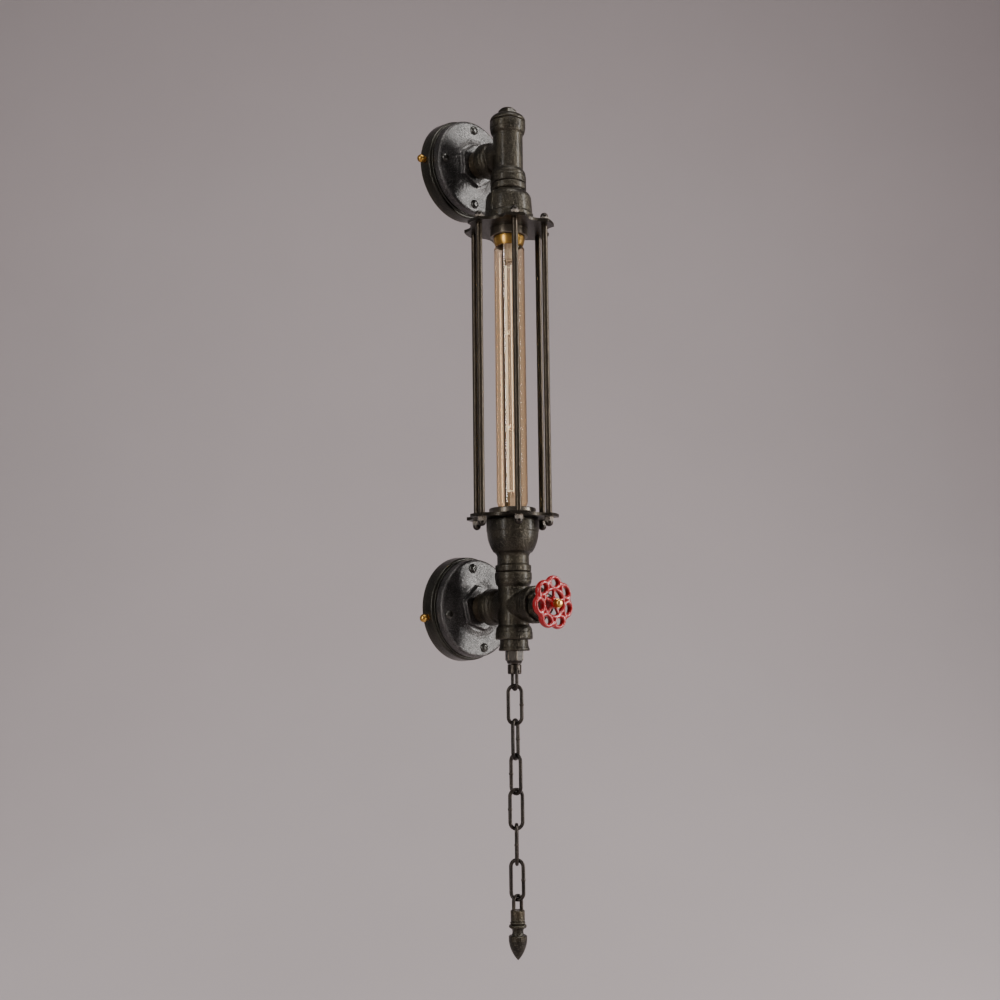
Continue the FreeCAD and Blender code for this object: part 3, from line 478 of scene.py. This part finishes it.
class Finish(Enum):
    """Every finish on the light."""

    CAST_IRON = CastMetal("black_cast_iron", (0.010, 0.008, 0.006), (0.034, 0.028, 0.018),
                          (0.120, 0.108, 0.084), (0.085, 0.062, 0.038), grain=560.0, grit=1150.0,
                          grain_depth=0.0016, grit_depth=0.0006, rough_low=0.25, rough_high=0.46,
                          metallic=0.85, coat=0.16)
    FLANGE_IRON = CastMetal("flange_cast_iron", (0.020, 0.019, 0.018), (0.066, 0.062, 0.060),
                            (0.250, 0.235, 0.235), (0.110, 0.100, 0.088), grain=480.0, grit=1000.0,
                            grain_depth=0.0020, grit_depth=0.0008, rough_low=0.24, rough_high=0.44,
                            metallic=0.85, coat=0.20)
    CANOPY_PAINT = CastMetal("canopy_black_paint", (0.011, 0.010, 0.008), (0.026, 0.024, 0.018),
                             (0.075, 0.070, 0.058), (0.070, 0.062, 0.048), grain=600.0,
                             grain_depth=0.0006, grit_depth=0.0003, rough_low=0.24, rough_high=0.38,
                             metallic=0.80, coat=0.15)
    PLATE_STEEL = CastMetal("blackened_plate_steel", (0.006, 0.005, 0.004), (0.017, 0.014, 0.010),
                            (0.055, 0.048, 0.038), (0.030, 0.024, 0.017), grain=520.0, grit=1100.0,
                            grain_depth=0.0007, grit_depth=0.0004, rough_low=0.26, rough_high=0.44,
                            metallic=0.85, coat=0.10)
    CAGE_STEEL = CastMetal("bronzed_cage_steel", (0.011, 0.008, 0.006), (0.030, 0.023, 0.015),
                           (0.090, 0.076, 0.054), (0.055, 0.040, 0.026), grain=420.0, grit=1000.0,
                           grain_depth=0.0010, grit_depth=0.0005, rough_low=0.24, rough_high=0.42,
                           metallic=0.88, coat=0.14)
    CHAIN_STEEL = CastMetal("blackened_chain_steel", (0.010, 0.008, 0.007), (0.028, 0.022, 0.018),
                            (0.080, 0.068, 0.056), (0.065, 0.050, 0.036), grain=800.0,
                            grain_depth=0.0004, rough_low=0.26, rough_high=0.44, metallic=0.88, coat=0.14)
    HOLDER_STEEL = CastMetal("holder_bronzed_steel", (0.035, 0.029, 0.023), (0.075, 0.063, 0.050),
                             (0.130, 0.112, 0.092), (0.110, 0.090, 0.064), grain=800.0,
                             grain_depth=0.0002, rough_low=0.26, rough_high=0.40)
    SCREW_STEEL = CastMetal("blackened_screw_steel", (0.010, 0.009, 0.008), (0.026, 0.024, 0.020),
                            (0.090, 0.084, 0.074), (0.080, 0.070, 0.056), grain=1100.0,
                            grain_depth=0.0002, rough_low=0.22, rough_high=0.36, metallic=0.5)
    ZINC = BareMetal("zinc_plated_steel", (0.62, 0.62, 0.60), (0.38, 0.38, 0.36))
    BRASS = BareMetal("turned_brass", (0.60, 0.36, 0.10), (0.33, 0.18, 0.04), 0.20, 0.42)
    RED = Enamel("wheel_red_enamel", (0.30, 0.002, 0.006), (0.16, 0.001, 0.003))
    AMBER_GLASS = TintedGlass("amber_tube_glass", (1.0, 0.965, 0.890), (1.0, 0.76, 0.38), 480.0)
    STEM_GLASS = TintedGlass("stem_glass", (1.0, 0.975, 0.96), (1.0, 0.86, 0.78), 25.0, 420.0)
    # The filament glows by painted emission, standing in for its bright look though the lamp is unlit.
    FILAMENT = Plain("filament_wire", (1.0, 0.92, 0.80), (0.86, 0.70, 0.54), 0.30, 1400.0, 0.90)
    # Pale opaque flare finish: painted highlight standing in for white reflections in the clear glass below
    # the base.
    FROSTED = Plain("flare_painted_highlight", (0.86, 0.82, 0.76), (0.72, 0.66, 0.58), 0.30)
    RUBBER = Plain("black_rubber", (0.022, 0.022, 0.022), (0.040, 0.039, 0.037), 0.72)
    CERAMIC = Plain("glazed_ceramic", (0.78, 0.75, 0.68), (0.68, 0.64, 0.56), 0.25)

    def material(self) -> bpy.types.Material:
        """Give the finish's material, made on first use."""
        if self.name not in MADE:
            MADE[self.name] = self.value.build()
        return MADE[self.name]

    def paint(self, piece: bpy.types.Object) -> None:
        """Give the piece this finish alone."""
        slots = piece.material_slots
        if not slots:
            piece.data.materials.append(self.material())
        for slot in slots:
            slot.link = "OBJECT"
            slot.material = self.material()


def dress(nodes: dict[str, Finish]) -> None:
    """Paint carried-over nodes.

    Args:
        nodes: node names with their finishes.
    """
    for name, finish in nodes.items():
        finish.paint(frame["nodes"][name])
        LOG.info("dressed %s as %s", name, finish.name)


def body_of_node(name: str) -> str:
    """Name of the body that a node belongs to."""
    bodies = frame["record"]["behaviour"]["bodies"]
    return next(body for body, nodes in bodies.items() if name in nodes)


@dataclass
class SoftCasting:
    """A copy of a hard-edged node with its edges rounded and its skin made uneven, as a casting's is."""

    node: str
    finish: Finish
    slot: str
    voxel: float = 0.55 * MM
    rounds: int = 4
    relief: float = 0.10 * MM
    level: float = 0.6
    weld_gap: float = 0.001 * MM
    lump: float = 2.6 * MM

    def build(self) -> bpy.types.Object:
        """Make the casting and put it in the node's place.

        Returns:
            The new piece.
        """
        source = frame["nodes"][self.node]
        piece = source.copy()
        piece.data = source.data.copy()
        piece.parent = None
        piece.matrix_world = Matrix.Identity(4)
        piece.name = "cast_" + self.node
        bpy.context.collection.objects.link(piece)
        mesh = bmesh.new()
        mesh.from_mesh(piece.data)
        bmesh.ops.remove_doubles(mesh, verts=mesh.verts, dist=self.weld_gap)
        mesh.to_mesh(piece.data)
        mesh.free()
        Bench.apply(piece, "REMESH", mode="VOXEL", voxel_size=self.voxel)
        Bench.apply(piece, "SMOOTH", factor=SMOOTHING, iterations=self.rounds)
        self.roughen(piece)
        piece.data.materials.clear()
        self.finish.paint(piece)
        Bench.smooth(piece)
        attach(piece, body_of_node(self.node))
        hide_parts(self.node)
        LOG.info("cast %s, %d faces", piece.name, len(piece.data.polygons))
        return piece

    def roughen(self, piece: bpy.types.Object) -> None:
        """Raise and sink the skin by a fine cloud pattern."""
        if not self.relief:
            return
        texture = bpy.data.textures.new(piece.name + "_skin", "CLOUDS")
        texture.noise_scale = self.lump
        texture.noise_depth = 2
        Bench.apply(piece, "DISPLACE", texture=texture, strength=self.relief, mid_level=self.level,
                    texture_coords="LOCAL")
        bpy.data.textures.remove(texture)


@dataclass
class WallPlate:
    """One wall plate: strap, canopy, flange, its screws and nuts, side knobs and nipple."""

    side: Side
    flange_relief: float = 0.16 * MM

    def build(self) -> None:
        """Cast the flange and dress the rest."""
        name = self.side.value
        SoftCasting(name + "_flange", Finish.FLANGE_IRON, "cast_iron", relief=self.flange_relief).build()
        dress({
            name + "_wall_strap": Finish.ZINC,
            name + "_canopy": Finish.CANOPY_PAINT,
            name + "_flange_screws": Finish.SCREW_STEEL,
            name + "_flange_nuts": Finish.ZINC,
            name + "_side_knobs": Finish.BRASS,
            name + "_wall_nipple": Finish.CAST_IRON,
        })


@dataclass
class Pipework:
    """Tee with its plug, the two reducers, the cross and the parts screwed into it."""

    castings: tuple[str, ...] = ("domed_plug", "tee", "upper_reducer", "lower_reducer", "cross", "bushing")

    def build(self) -> None:
        """Cast the fittings and dress the rest."""
        for node in self.castings:
            SoftCasting(node, Finish.CAST_IRON, "cast_iron").build()
        dress({
            "upper_run_nipple": Finish.ZINC,
            "lower_run_nipple": Finish.ZINC,
            "bonnet": Finish.CAST_IRON,
            "packing_nut": Finish.SCREW_STEEL,
        })


@dataclass
class Cage:
    """Plates, rods and dome nuts."""

    rods: int = 6

    def build(self) -> None:
        """Dress the cage."""
        nodes = {"upper_cage_plate": Finish.PLATE_STEEL, "lower_cage_plate": Finish.PLATE_STEEL,
                 "upper_cage_nuts": Finish.CHAIN_STEEL, "lower_cage_nuts": Finish.CHAIN_STEEL,
                 "collar": Finish.HOLDER_STEEL, "cushion": Finish.RUBBER}
        for number in range(1, self.rods + 1):
            nodes["cage_rod_%d" % number] = Finish.CAGE_STEEL
        dress(nodes)


@dataclass
class Lamp:
    """Lamp holder and tube lamp, with the stem's flare and the beads where its wires are fused in."""

    bead_shares: tuple[float, ...] = (0.30, 0.72)
    bead_radius: float = 2.9 * MM
    bead_segments: int = 24
    bead_stretch: float = 1.35
    flare_radius: float = 5.6 * MM
    flare_throat: float = 0.3
    flare_segments: int = 40
    flare_bevel: float = 0.8 * MM
    flare_tall: float = 15.0 * MM
    flare_inset: float = 1.5 * MM

    def build(self) -> None:
        """Dress the lamp and add the stem's beads and flare."""
        dress({
            "lamp_holder": Finish.HOLDER_STEEL,
            "holder_ring": Finish.HOLDER_STEEL,
            "holder_insulator": Finish.CERAMIC,
            "centre_contact": Finish.BRASS,
            "screw_shell": Finish.BRASS,
            "lamp_base": Finish.BRASS,
            "lamp_glass": Finish.AMBER_GLASS,
            "lamp_stem": Finish.STEM_GLASS,
            "filament": Finish.FILAMENT,
        })
        for number, share in enumerate(self.bead_shares, start=1):
            self.bead(number, share)
        self.flare()

    def flare(self) -> None:
        """Fused glass flare that carries the stem, just below the lamp's base; its pale opaque finish is a
        painted highlight for the white reflections in the clear glass there.
        """
        low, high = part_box("lamp_base")
        centre_z = low.z - self.flare_tall / 2 + self.flare_inset
        Bench.clear()
        bpy.ops.mesh.primitive_cone_add(
            vertices=self.flare_segments, radius1=self.flare_radius * self.flare_throat,
            radius2=self.flare_radius, depth=self.flare_tall,
            location=((low.x + high.x) / 2, (low.y + high.y) / 2, centre_z))
        piece = bpy.context.object
        piece.name = "stem_flare"
        Bench.apply(piece, "BEVEL", width=self.flare_bevel, segments=3)
        Bench.settle(piece)
        Bench.shade(piece)
        Finish.FROSTED.paint(piece)
        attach(piece, "root")
        LOG.info("made %s", piece.name)

    def bead(self, number: int, share: float) -> None:
        """Glass bead round the stem at a share of the filament's height from its top."""
        low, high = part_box("filament")
        stem_low, stem_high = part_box("lamp_stem")
        centre = ((stem_low.x + stem_high.x) / 2, (stem_low.y + stem_high.y) / 2,
                  high.z + (low.z - high.z) * share)
        piece = Bench.ball("stem_bead_%d" % number, centre, self.bead_radius, self.bead_stretch,
                           self.bead_segments)
        Finish.STEM_GLASS.paint(piece)
        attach(piece, "root")
        LOG.info("made %s", piece.name)


@dataclass
class HandWheel:
    """Red openwork wheel: seven lobed windows round a scalloped rim, an inner ring, five spokes and a hub."""

    lobes: int = 7
    first_lobe: float = math.radians(4.0)
    lobe_at: float = 18.6 * MM
    wire: float = 2.15 * MM
    half_tangent: float = 6.6 * MM
    half_radial: float = 4.9 * MM
    rim_depth: float = 1.45
    web_at: float = 19.4 * MM
    web_radius: float = 3.3 * MM
    ring_radius: float = 13.0 * MM
    ring_wire: float = 1.9 * MM
    spokes: int = 5
    first_spoke: float = math.radians(3.0)
    spoke_radius: float = 1.75 * MM
    spoke_end: float = 12.8 * MM
    spoke_forward: float = 0.6 * MM
    hub_radius: float = 6.2 * MM
    hub_taper: float = 0.76
    hub_gap: float = 0.3 * MM
    rim_out: float = 6.4 * MM
    lobe_segments: int = 44
    ring_segments: int = 80
    wire_segments: int = 14
    blank_segments: int = 20
    hub_segments: int = 48
    voxel: float = 0.38 * MM
    rounds: int = 7
    parts: list[bpy.types.Object] = field(default_factory=list)

    def build(self) -> None:
        """Cast the wheel from its blanks and dress its spindle and nut."""
        Bench.clear()
        step = math.tau / self.lobes
        for number in range(self.lobes):
            self.lobe(self.first_lobe + number * step)
            self.web(self.first_lobe + (number + 0.5) * step)
        for number in range(self.spokes):
            self.spoke(self.first_spoke + number * math.tau / self.spokes)
        self.ring()
        self.hub()
        self.cast()
        dress({"spindle": Finish.ZINC, "wheel_nut": Finish.BRASS})

    def keep(self, piece: bpy.types.Object) -> None:
        """Settle a blank and keep it for the casting."""
        Bench.settle(piece)
        self.parts.append(piece)

    def lobe(self, angle: float) -> None:
        """Oval loop round one window of the rim, at an angle from the top."""
        major = (self.half_tangent + self.half_radial) / 2
        bpy.ops.mesh.primitive_torus_add(
            major_radius=major, minor_radius=self.wire, major_segments=self.lobe_segments,
            minor_segments=self.wire_segments,
            location=(self.lobe_at * math.sin(angle), self.lobe_at * math.cos(angle), 0.0),
            rotation=(0.0, 0.0, -angle))
        piece = bpy.context.object
        piece.scale = (self.half_tangent / major, self.half_radial / major, self.rim_depth)
        self.keep(piece)

    def web(self, angle: float) -> None:
        """Rounded lump that fills the valley between two lobes."""
        bpy.ops.mesh.primitive_uv_sphere_add(
            segments=self.blank_segments, ring_count=BALL_RINGS, radius=self.web_radius,
            location=(self.web_at * math.sin(angle), self.web_at * math.cos(angle), 0.0))
        self.keep(bpy.context.object)

    def spoke(self, angle: float) -> None:
        """Round spoke from the hub to the inner ring."""
        bpy.ops.mesh.primitive_cylinder_add(
            vertices=self.blank_segments, radius=self.spoke_radius, depth=self.spoke_end,
            location=(self.spoke_end / 2 * math.sin(angle), self.spoke_end / 2 * math.cos(angle),
                      self.spoke_forward),
            rotation=(math.pi / 2, 0.0, -angle))
        self.keep(bpy.context.object)

    def ring(self) -> None:
        """Inner ring that carries the lobes."""
        bpy.ops.mesh.primitive_torus_add(
            major_radius=self.ring_radius, minor_radius=self.ring_wire, major_segments=self.ring_segments,
            minor_segments=self.wire_segments)
        piece = bpy.context.object
        piece.scale = (1.0, 1.0, self.rim_depth)
        self.keep(piece)

    def hub(self) -> None:
        """Hub with a tapered front."""
        low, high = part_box("hand_wheel")
        tall = high.y - low.y
        bpy.ops.mesh.primitive_cone_add(
            vertices=self.hub_segments, radius1=self.hub_radius, radius2=self.hub_radius * self.hub_taper,
            depth=tall - self.hub_gap, location=(0.0, 0.0, tall / 2 - self.rim_out))
        self.keep(bpy.context.object)

    def cast(self) -> None:
        """Join the blanks into one soft casting in the node's place."""
        low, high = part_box("hand_wheel")
        Bench.clear()
        for part in self.parts:
            part.select_set(True)
        wheel = self.parts[0]
        bpy.context.view_layer.objects.active = wheel
        bpy.ops.object.join()
        wheel.name = "cast_hand_wheel"
        wheel.rotation_euler = (math.pi / 2, 0.0, 0.0)
        wheel.location = ((low.x + high.x) / 2, high.y - self.rim_out, (low.z + high.z) / 2)
        Bench.settle(wheel)
        Bench.apply(wheel, "REMESH", mode="VOXEL", voxel_size=self.voxel)
        Bench.apply(wheel, "SMOOTH", factor=SMOOTHING, iterations=self.rounds)
        Bench.smooth(wheel)
        Finish.RED.paint(wheel)
        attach(wheel, "wheel")
        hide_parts("hand_wheel")
        LOG.info("cast %s, %d faces", wheel.name, len(wheel.data.polygons))


@dataclass
class PullChain:
    """Switch, gland, plunger with its return spring, chain with welded links, and finial."""

    links: int = 6
    weld_radius: float = 2.15 * MM
    weld_long: float = 2.4 * MM
    weld_segments: int = 20
    wire_radius: float = 1.75 * MM
    link_wide: float = 16.0 * MM
    link_turn: float = math.radians(67.0)
    first_turn: float = math.radians(-44.0)
    spring_wire: float = 0.42 * MM
    spring_turns: int = 7
    spring_steps: int = 28
    wire_segments: int = 10
    spring_keep: float = 0.48
    parts: dict[str, Finish] = field(default_factory=lambda: {
        "switch_body": Finish.ZINC,
        "switch_gland": Finish.CHAIN_STEEL,
        "plunger": Finish.CHAIN_STEEL,
        "finial_eye": Finish.CHAIN_STEEL,
        "finial": Finish.CAST_IRON,
    })

    def build(self) -> None:
        """Dress the switch and the chain, coil the spring and weld each link's joint."""
        nodes = dict(self.parts)
        for number in range(1, self.links + 1):
            nodes["chain_link_%d" % number] = Finish.CHAIN_STEEL
        dress(nodes)
        self.coil()
        for number in range(1, self.links + 1):
            self.weld(number)

    def coil(self) -> None:
        """Coiled return spring, carried with the return spring's body."""
        low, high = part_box("return_spring")
        centre = ((low.x + high.x) / 2, (low.y + high.y) / 2, low.z + self.spring_wire)
        mean = (high.x - low.x) / 2 - self.spring_wire
        Bench.clear()
        bpy.ops.mesh.primitive_circle_add(vertices=self.wire_segments, radius=self.spring_wire,
                                          location=(mean, 0.0, 0.0), rotation=(math.pi / 2, 0.0, 0.0))
        piece = bpy.context.object
        piece.name = "coiled_return_spring"
        Bench.settle(piece)
        Bench.apply(piece, "SCREW", angle=math.tau * self.spring_turns,
                    steps=self.spring_steps * self.spring_turns,
                    screw_offset=high.z - low.z - 2 * self.spring_wire)
        piece.location = centre
        Bench.settle(piece)
        Bench.shade(piece)
        Finish.ZINC.paint(piece)
        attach(piece, body_of_node("return_spring"))
        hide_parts("return_spring")
        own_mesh(piece)
        LOG.info("made %s", piece.name)

    def weld(self, number: int) -> None:
        """Swollen weld round the wire in the middle of one side of a link."""
        low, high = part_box("chain_link_%d" % number)
        turn = self.first_turn + (number - 1) * self.link_turn
        offset = self.link_wide / 2 - self.wire_radius
        centre = ((low.x + high.x) / 2 + offset * math.cos(turn),
                  (low.y + high.y) / 2 + offset * math.sin(turn),
                  (low.z + high.z) / 2)
        piece = Bench.ball("link_weld_%d" % number, centre, self.weld_radius,
                           self.weld_long / self.weld_radius, self.weld_segments)
        Finish.CHAIN_STEEL.paint(piece)
        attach(piece, "link_%d" % number)
        LOG.info("made %s", piece.name)


@dataclass
class Viewpoint:
    """The camera at the photograph's angle: left of the front, a little below the light's middle."""

    place: Point = (-0.904, -0.985, -0.511)
    azimuth: float = math.radians(44.22)
    pitch: float = math.radians(7.34)
    roll: float = math.radians(-0.67)
    lens: float = 48.67
    sensor: float = 36.0
    near: float = 0.01

    def build(self) -> None:
        """Make the camera and use it."""
        data = bpy.data.cameras.new("photo_camera")
        data.lens = self.lens
        data.sensor_width = self.sensor
        data.clip_start = self.near
        camera = bpy.data.objects.new("photo_camera", data)
        bpy.context.collection.objects.link(camera)
        ahead = Vector((math.sin(self.azimuth) * math.cos(self.pitch),
                        math.cos(self.azimuth) * math.cos(self.pitch), math.sin(self.pitch)))
        right = Vector((math.cos(self.azimuth), -math.sin(self.azimuth), 0.0))
        above = right.cross(ahead)
        rolled_right = math.cos(self.roll) * right + math.sin(self.roll) * above
        rolled_above = math.cos(self.roll) * above - math.sin(self.roll) * right
        turn = Matrix((rolled_right, rolled_above, -ahead)).transposed()
        camera.matrix_world = Matrix.Translation(self.place) @ turn.to_4x4()
        bpy.context.scene.camera = camera


@dataclass(frozen=True)
class SoftBox:
    """One large area light."""

    name: str
    place: Point
    wide: float
    tall: float
    power: float
    tint: Colour = (1.0, 0.98, 0.95)
    aim: Point = (0.0, -0.073, -0.32)


@dataclass
class Studio:
    """Plain pale floor that sweeps up behind the light, an even surround and large soft lights."""

    floor_drop: float = -1.5
    floor_size: float = 22.0
    sweep_back: float = 4.5
    sweep_tall: float = 14.0
    sweep_turn: float = math.radians(-44.0)
    sweep_bend: float = 3.0
    sweep_segments: int = 24
    edge_reach: float = 0.01
    floor_mottle: float = 0.97
    floor_rough: float = 0.85
    floor_grain: float = 6.0
    surround: Colour = (0.21, 0.198, 0.20)
    backdrop: Colour = (0.600, 0.535, 0.540)
    boxes: tuple[SoftBox, ...] = (
        SoftBox("right_box", (1.5, -1.9, 0.2), 0.50, 2.2, 95.0),
        SoftBox("right_front_box", (0.5, -2.2, -0.9), 0.8, 0.8, 8.0),
        SoftBox("left_strip", (-2.3, -0.25, 0.0), 0.16, 2.2, 34.0),
        SoftBox("top_box", (-0.2, -1.0, 1.9), 1.0, 0.8, 30.0),
        SoftBox("backdrop_wash_right", (2.2, -0.3, 0.0), 0.6, 2.4, 13.0, WASH_TINT, (2.6, 3.2, -0.4)),
        SoftBox("backdrop_wash_left", (-0.5, 2.2, 0.0), 0.6, 2.4, 13.0, WASH_TINT, (3.4, 2.6, -0.4)),
    )

    def build(self) -> None:
        """Make the sweep, the surround and the lights."""
        self.sweep()
        world = bpy.data.worlds.new("studio_surround")
        world.use_nodes = True
        world.node_tree.nodes["Background"].inputs["Color"].default_value = (*self.surround, 1.0)
        bpy.context.scene.world = world
        for box in self.boxes:
            self.light(box)

    def sweep(self) -> None:
        """Pale floor with a curved rise far behind the light."""
        Bench.clear()
        half = self.floor_size / 2
        bpy.ops.mesh.primitive_plane_add(size=self.floor_size, location=(0.0, self.sweep_back - half, 0.0))
        floor = bpy.context.object
        floor.name = "studio_sweep"
        Bench.settle(floor)
        bpy.context.tool_settings.mesh_select_mode = (False, True, False)
        bpy.ops.object.mode_set(mode="EDIT")
        bpy.ops.mesh.select_all(action="DESELECT")
        bpy.ops.object.mode_set(mode="OBJECT")
        back = self.sweep_back - self.edge_reach
        for edge in floor.data.edges:
            edge.select = all(floor.data.vertices[v].co.y > back for v in edge.vertices)
        bpy.ops.object.mode_set(mode="EDIT")
        bpy.ops.mesh.extrude_region_move(TRANSFORM_OT_translate={"value": (0.0, 0.0, self.sweep_tall)})
        bpy.ops.object.mode_set(mode="OBJECT")
        Bench.apply(floor, "BEVEL", width=self.sweep_bend, segments=self.sweep_segments, limit_method="ANGLE")
        floor.rotation_euler = (0.0, 0.0, self.sweep_turn)
        floor.location = (0.0, 0.0, self.floor_drop)
        Bench.settle(floor)
        Bench.shade(floor, 60.0)
        mottle = tuple(c * self.floor_mottle for c in self.backdrop)
        finish = Plain("pale_floor", self.backdrop, mottle, self.floor_rough, self.floor_grain)
        floor.data.materials.append(finish.build())

    def light(self, box: SoftBox) -> None:
        """Make one soft box, turned to the light."""
        data = bpy.data.lights.new(box.name, "AREA")
        data.shape = "RECTANGLE"
        data.size = box.wide
        data.size_y = box.tall
        data.energy = box.power
        data.color = box.tint
        lamp = bpy.data.objects.new(box.name, data)
        bpy.context.collection.objects.link(lamp)
        direction = Vector(box.aim) - Vector(box.place)
        turn = direction.to_track_quat("-Z", "Y").to_matrix().to_4x4()
        lamp.matrix_world = Matrix.Translation(box.place) @ turn


def main() -> None:
    """Build the camera, the studio and every sub-assembly in order."""
    logging.basicConfig(level=logging.INFO, format="%(name)s: %(message)s")
    Viewpoint().build()
    Studio().build()
    for side in Side:
        WallPlate(side).build()
    Pipework().build()
    Cage().build()
    Lamp().build()
    HandWheel().build()
    PullChain().build()


if __name__ == "__main__":
    main()
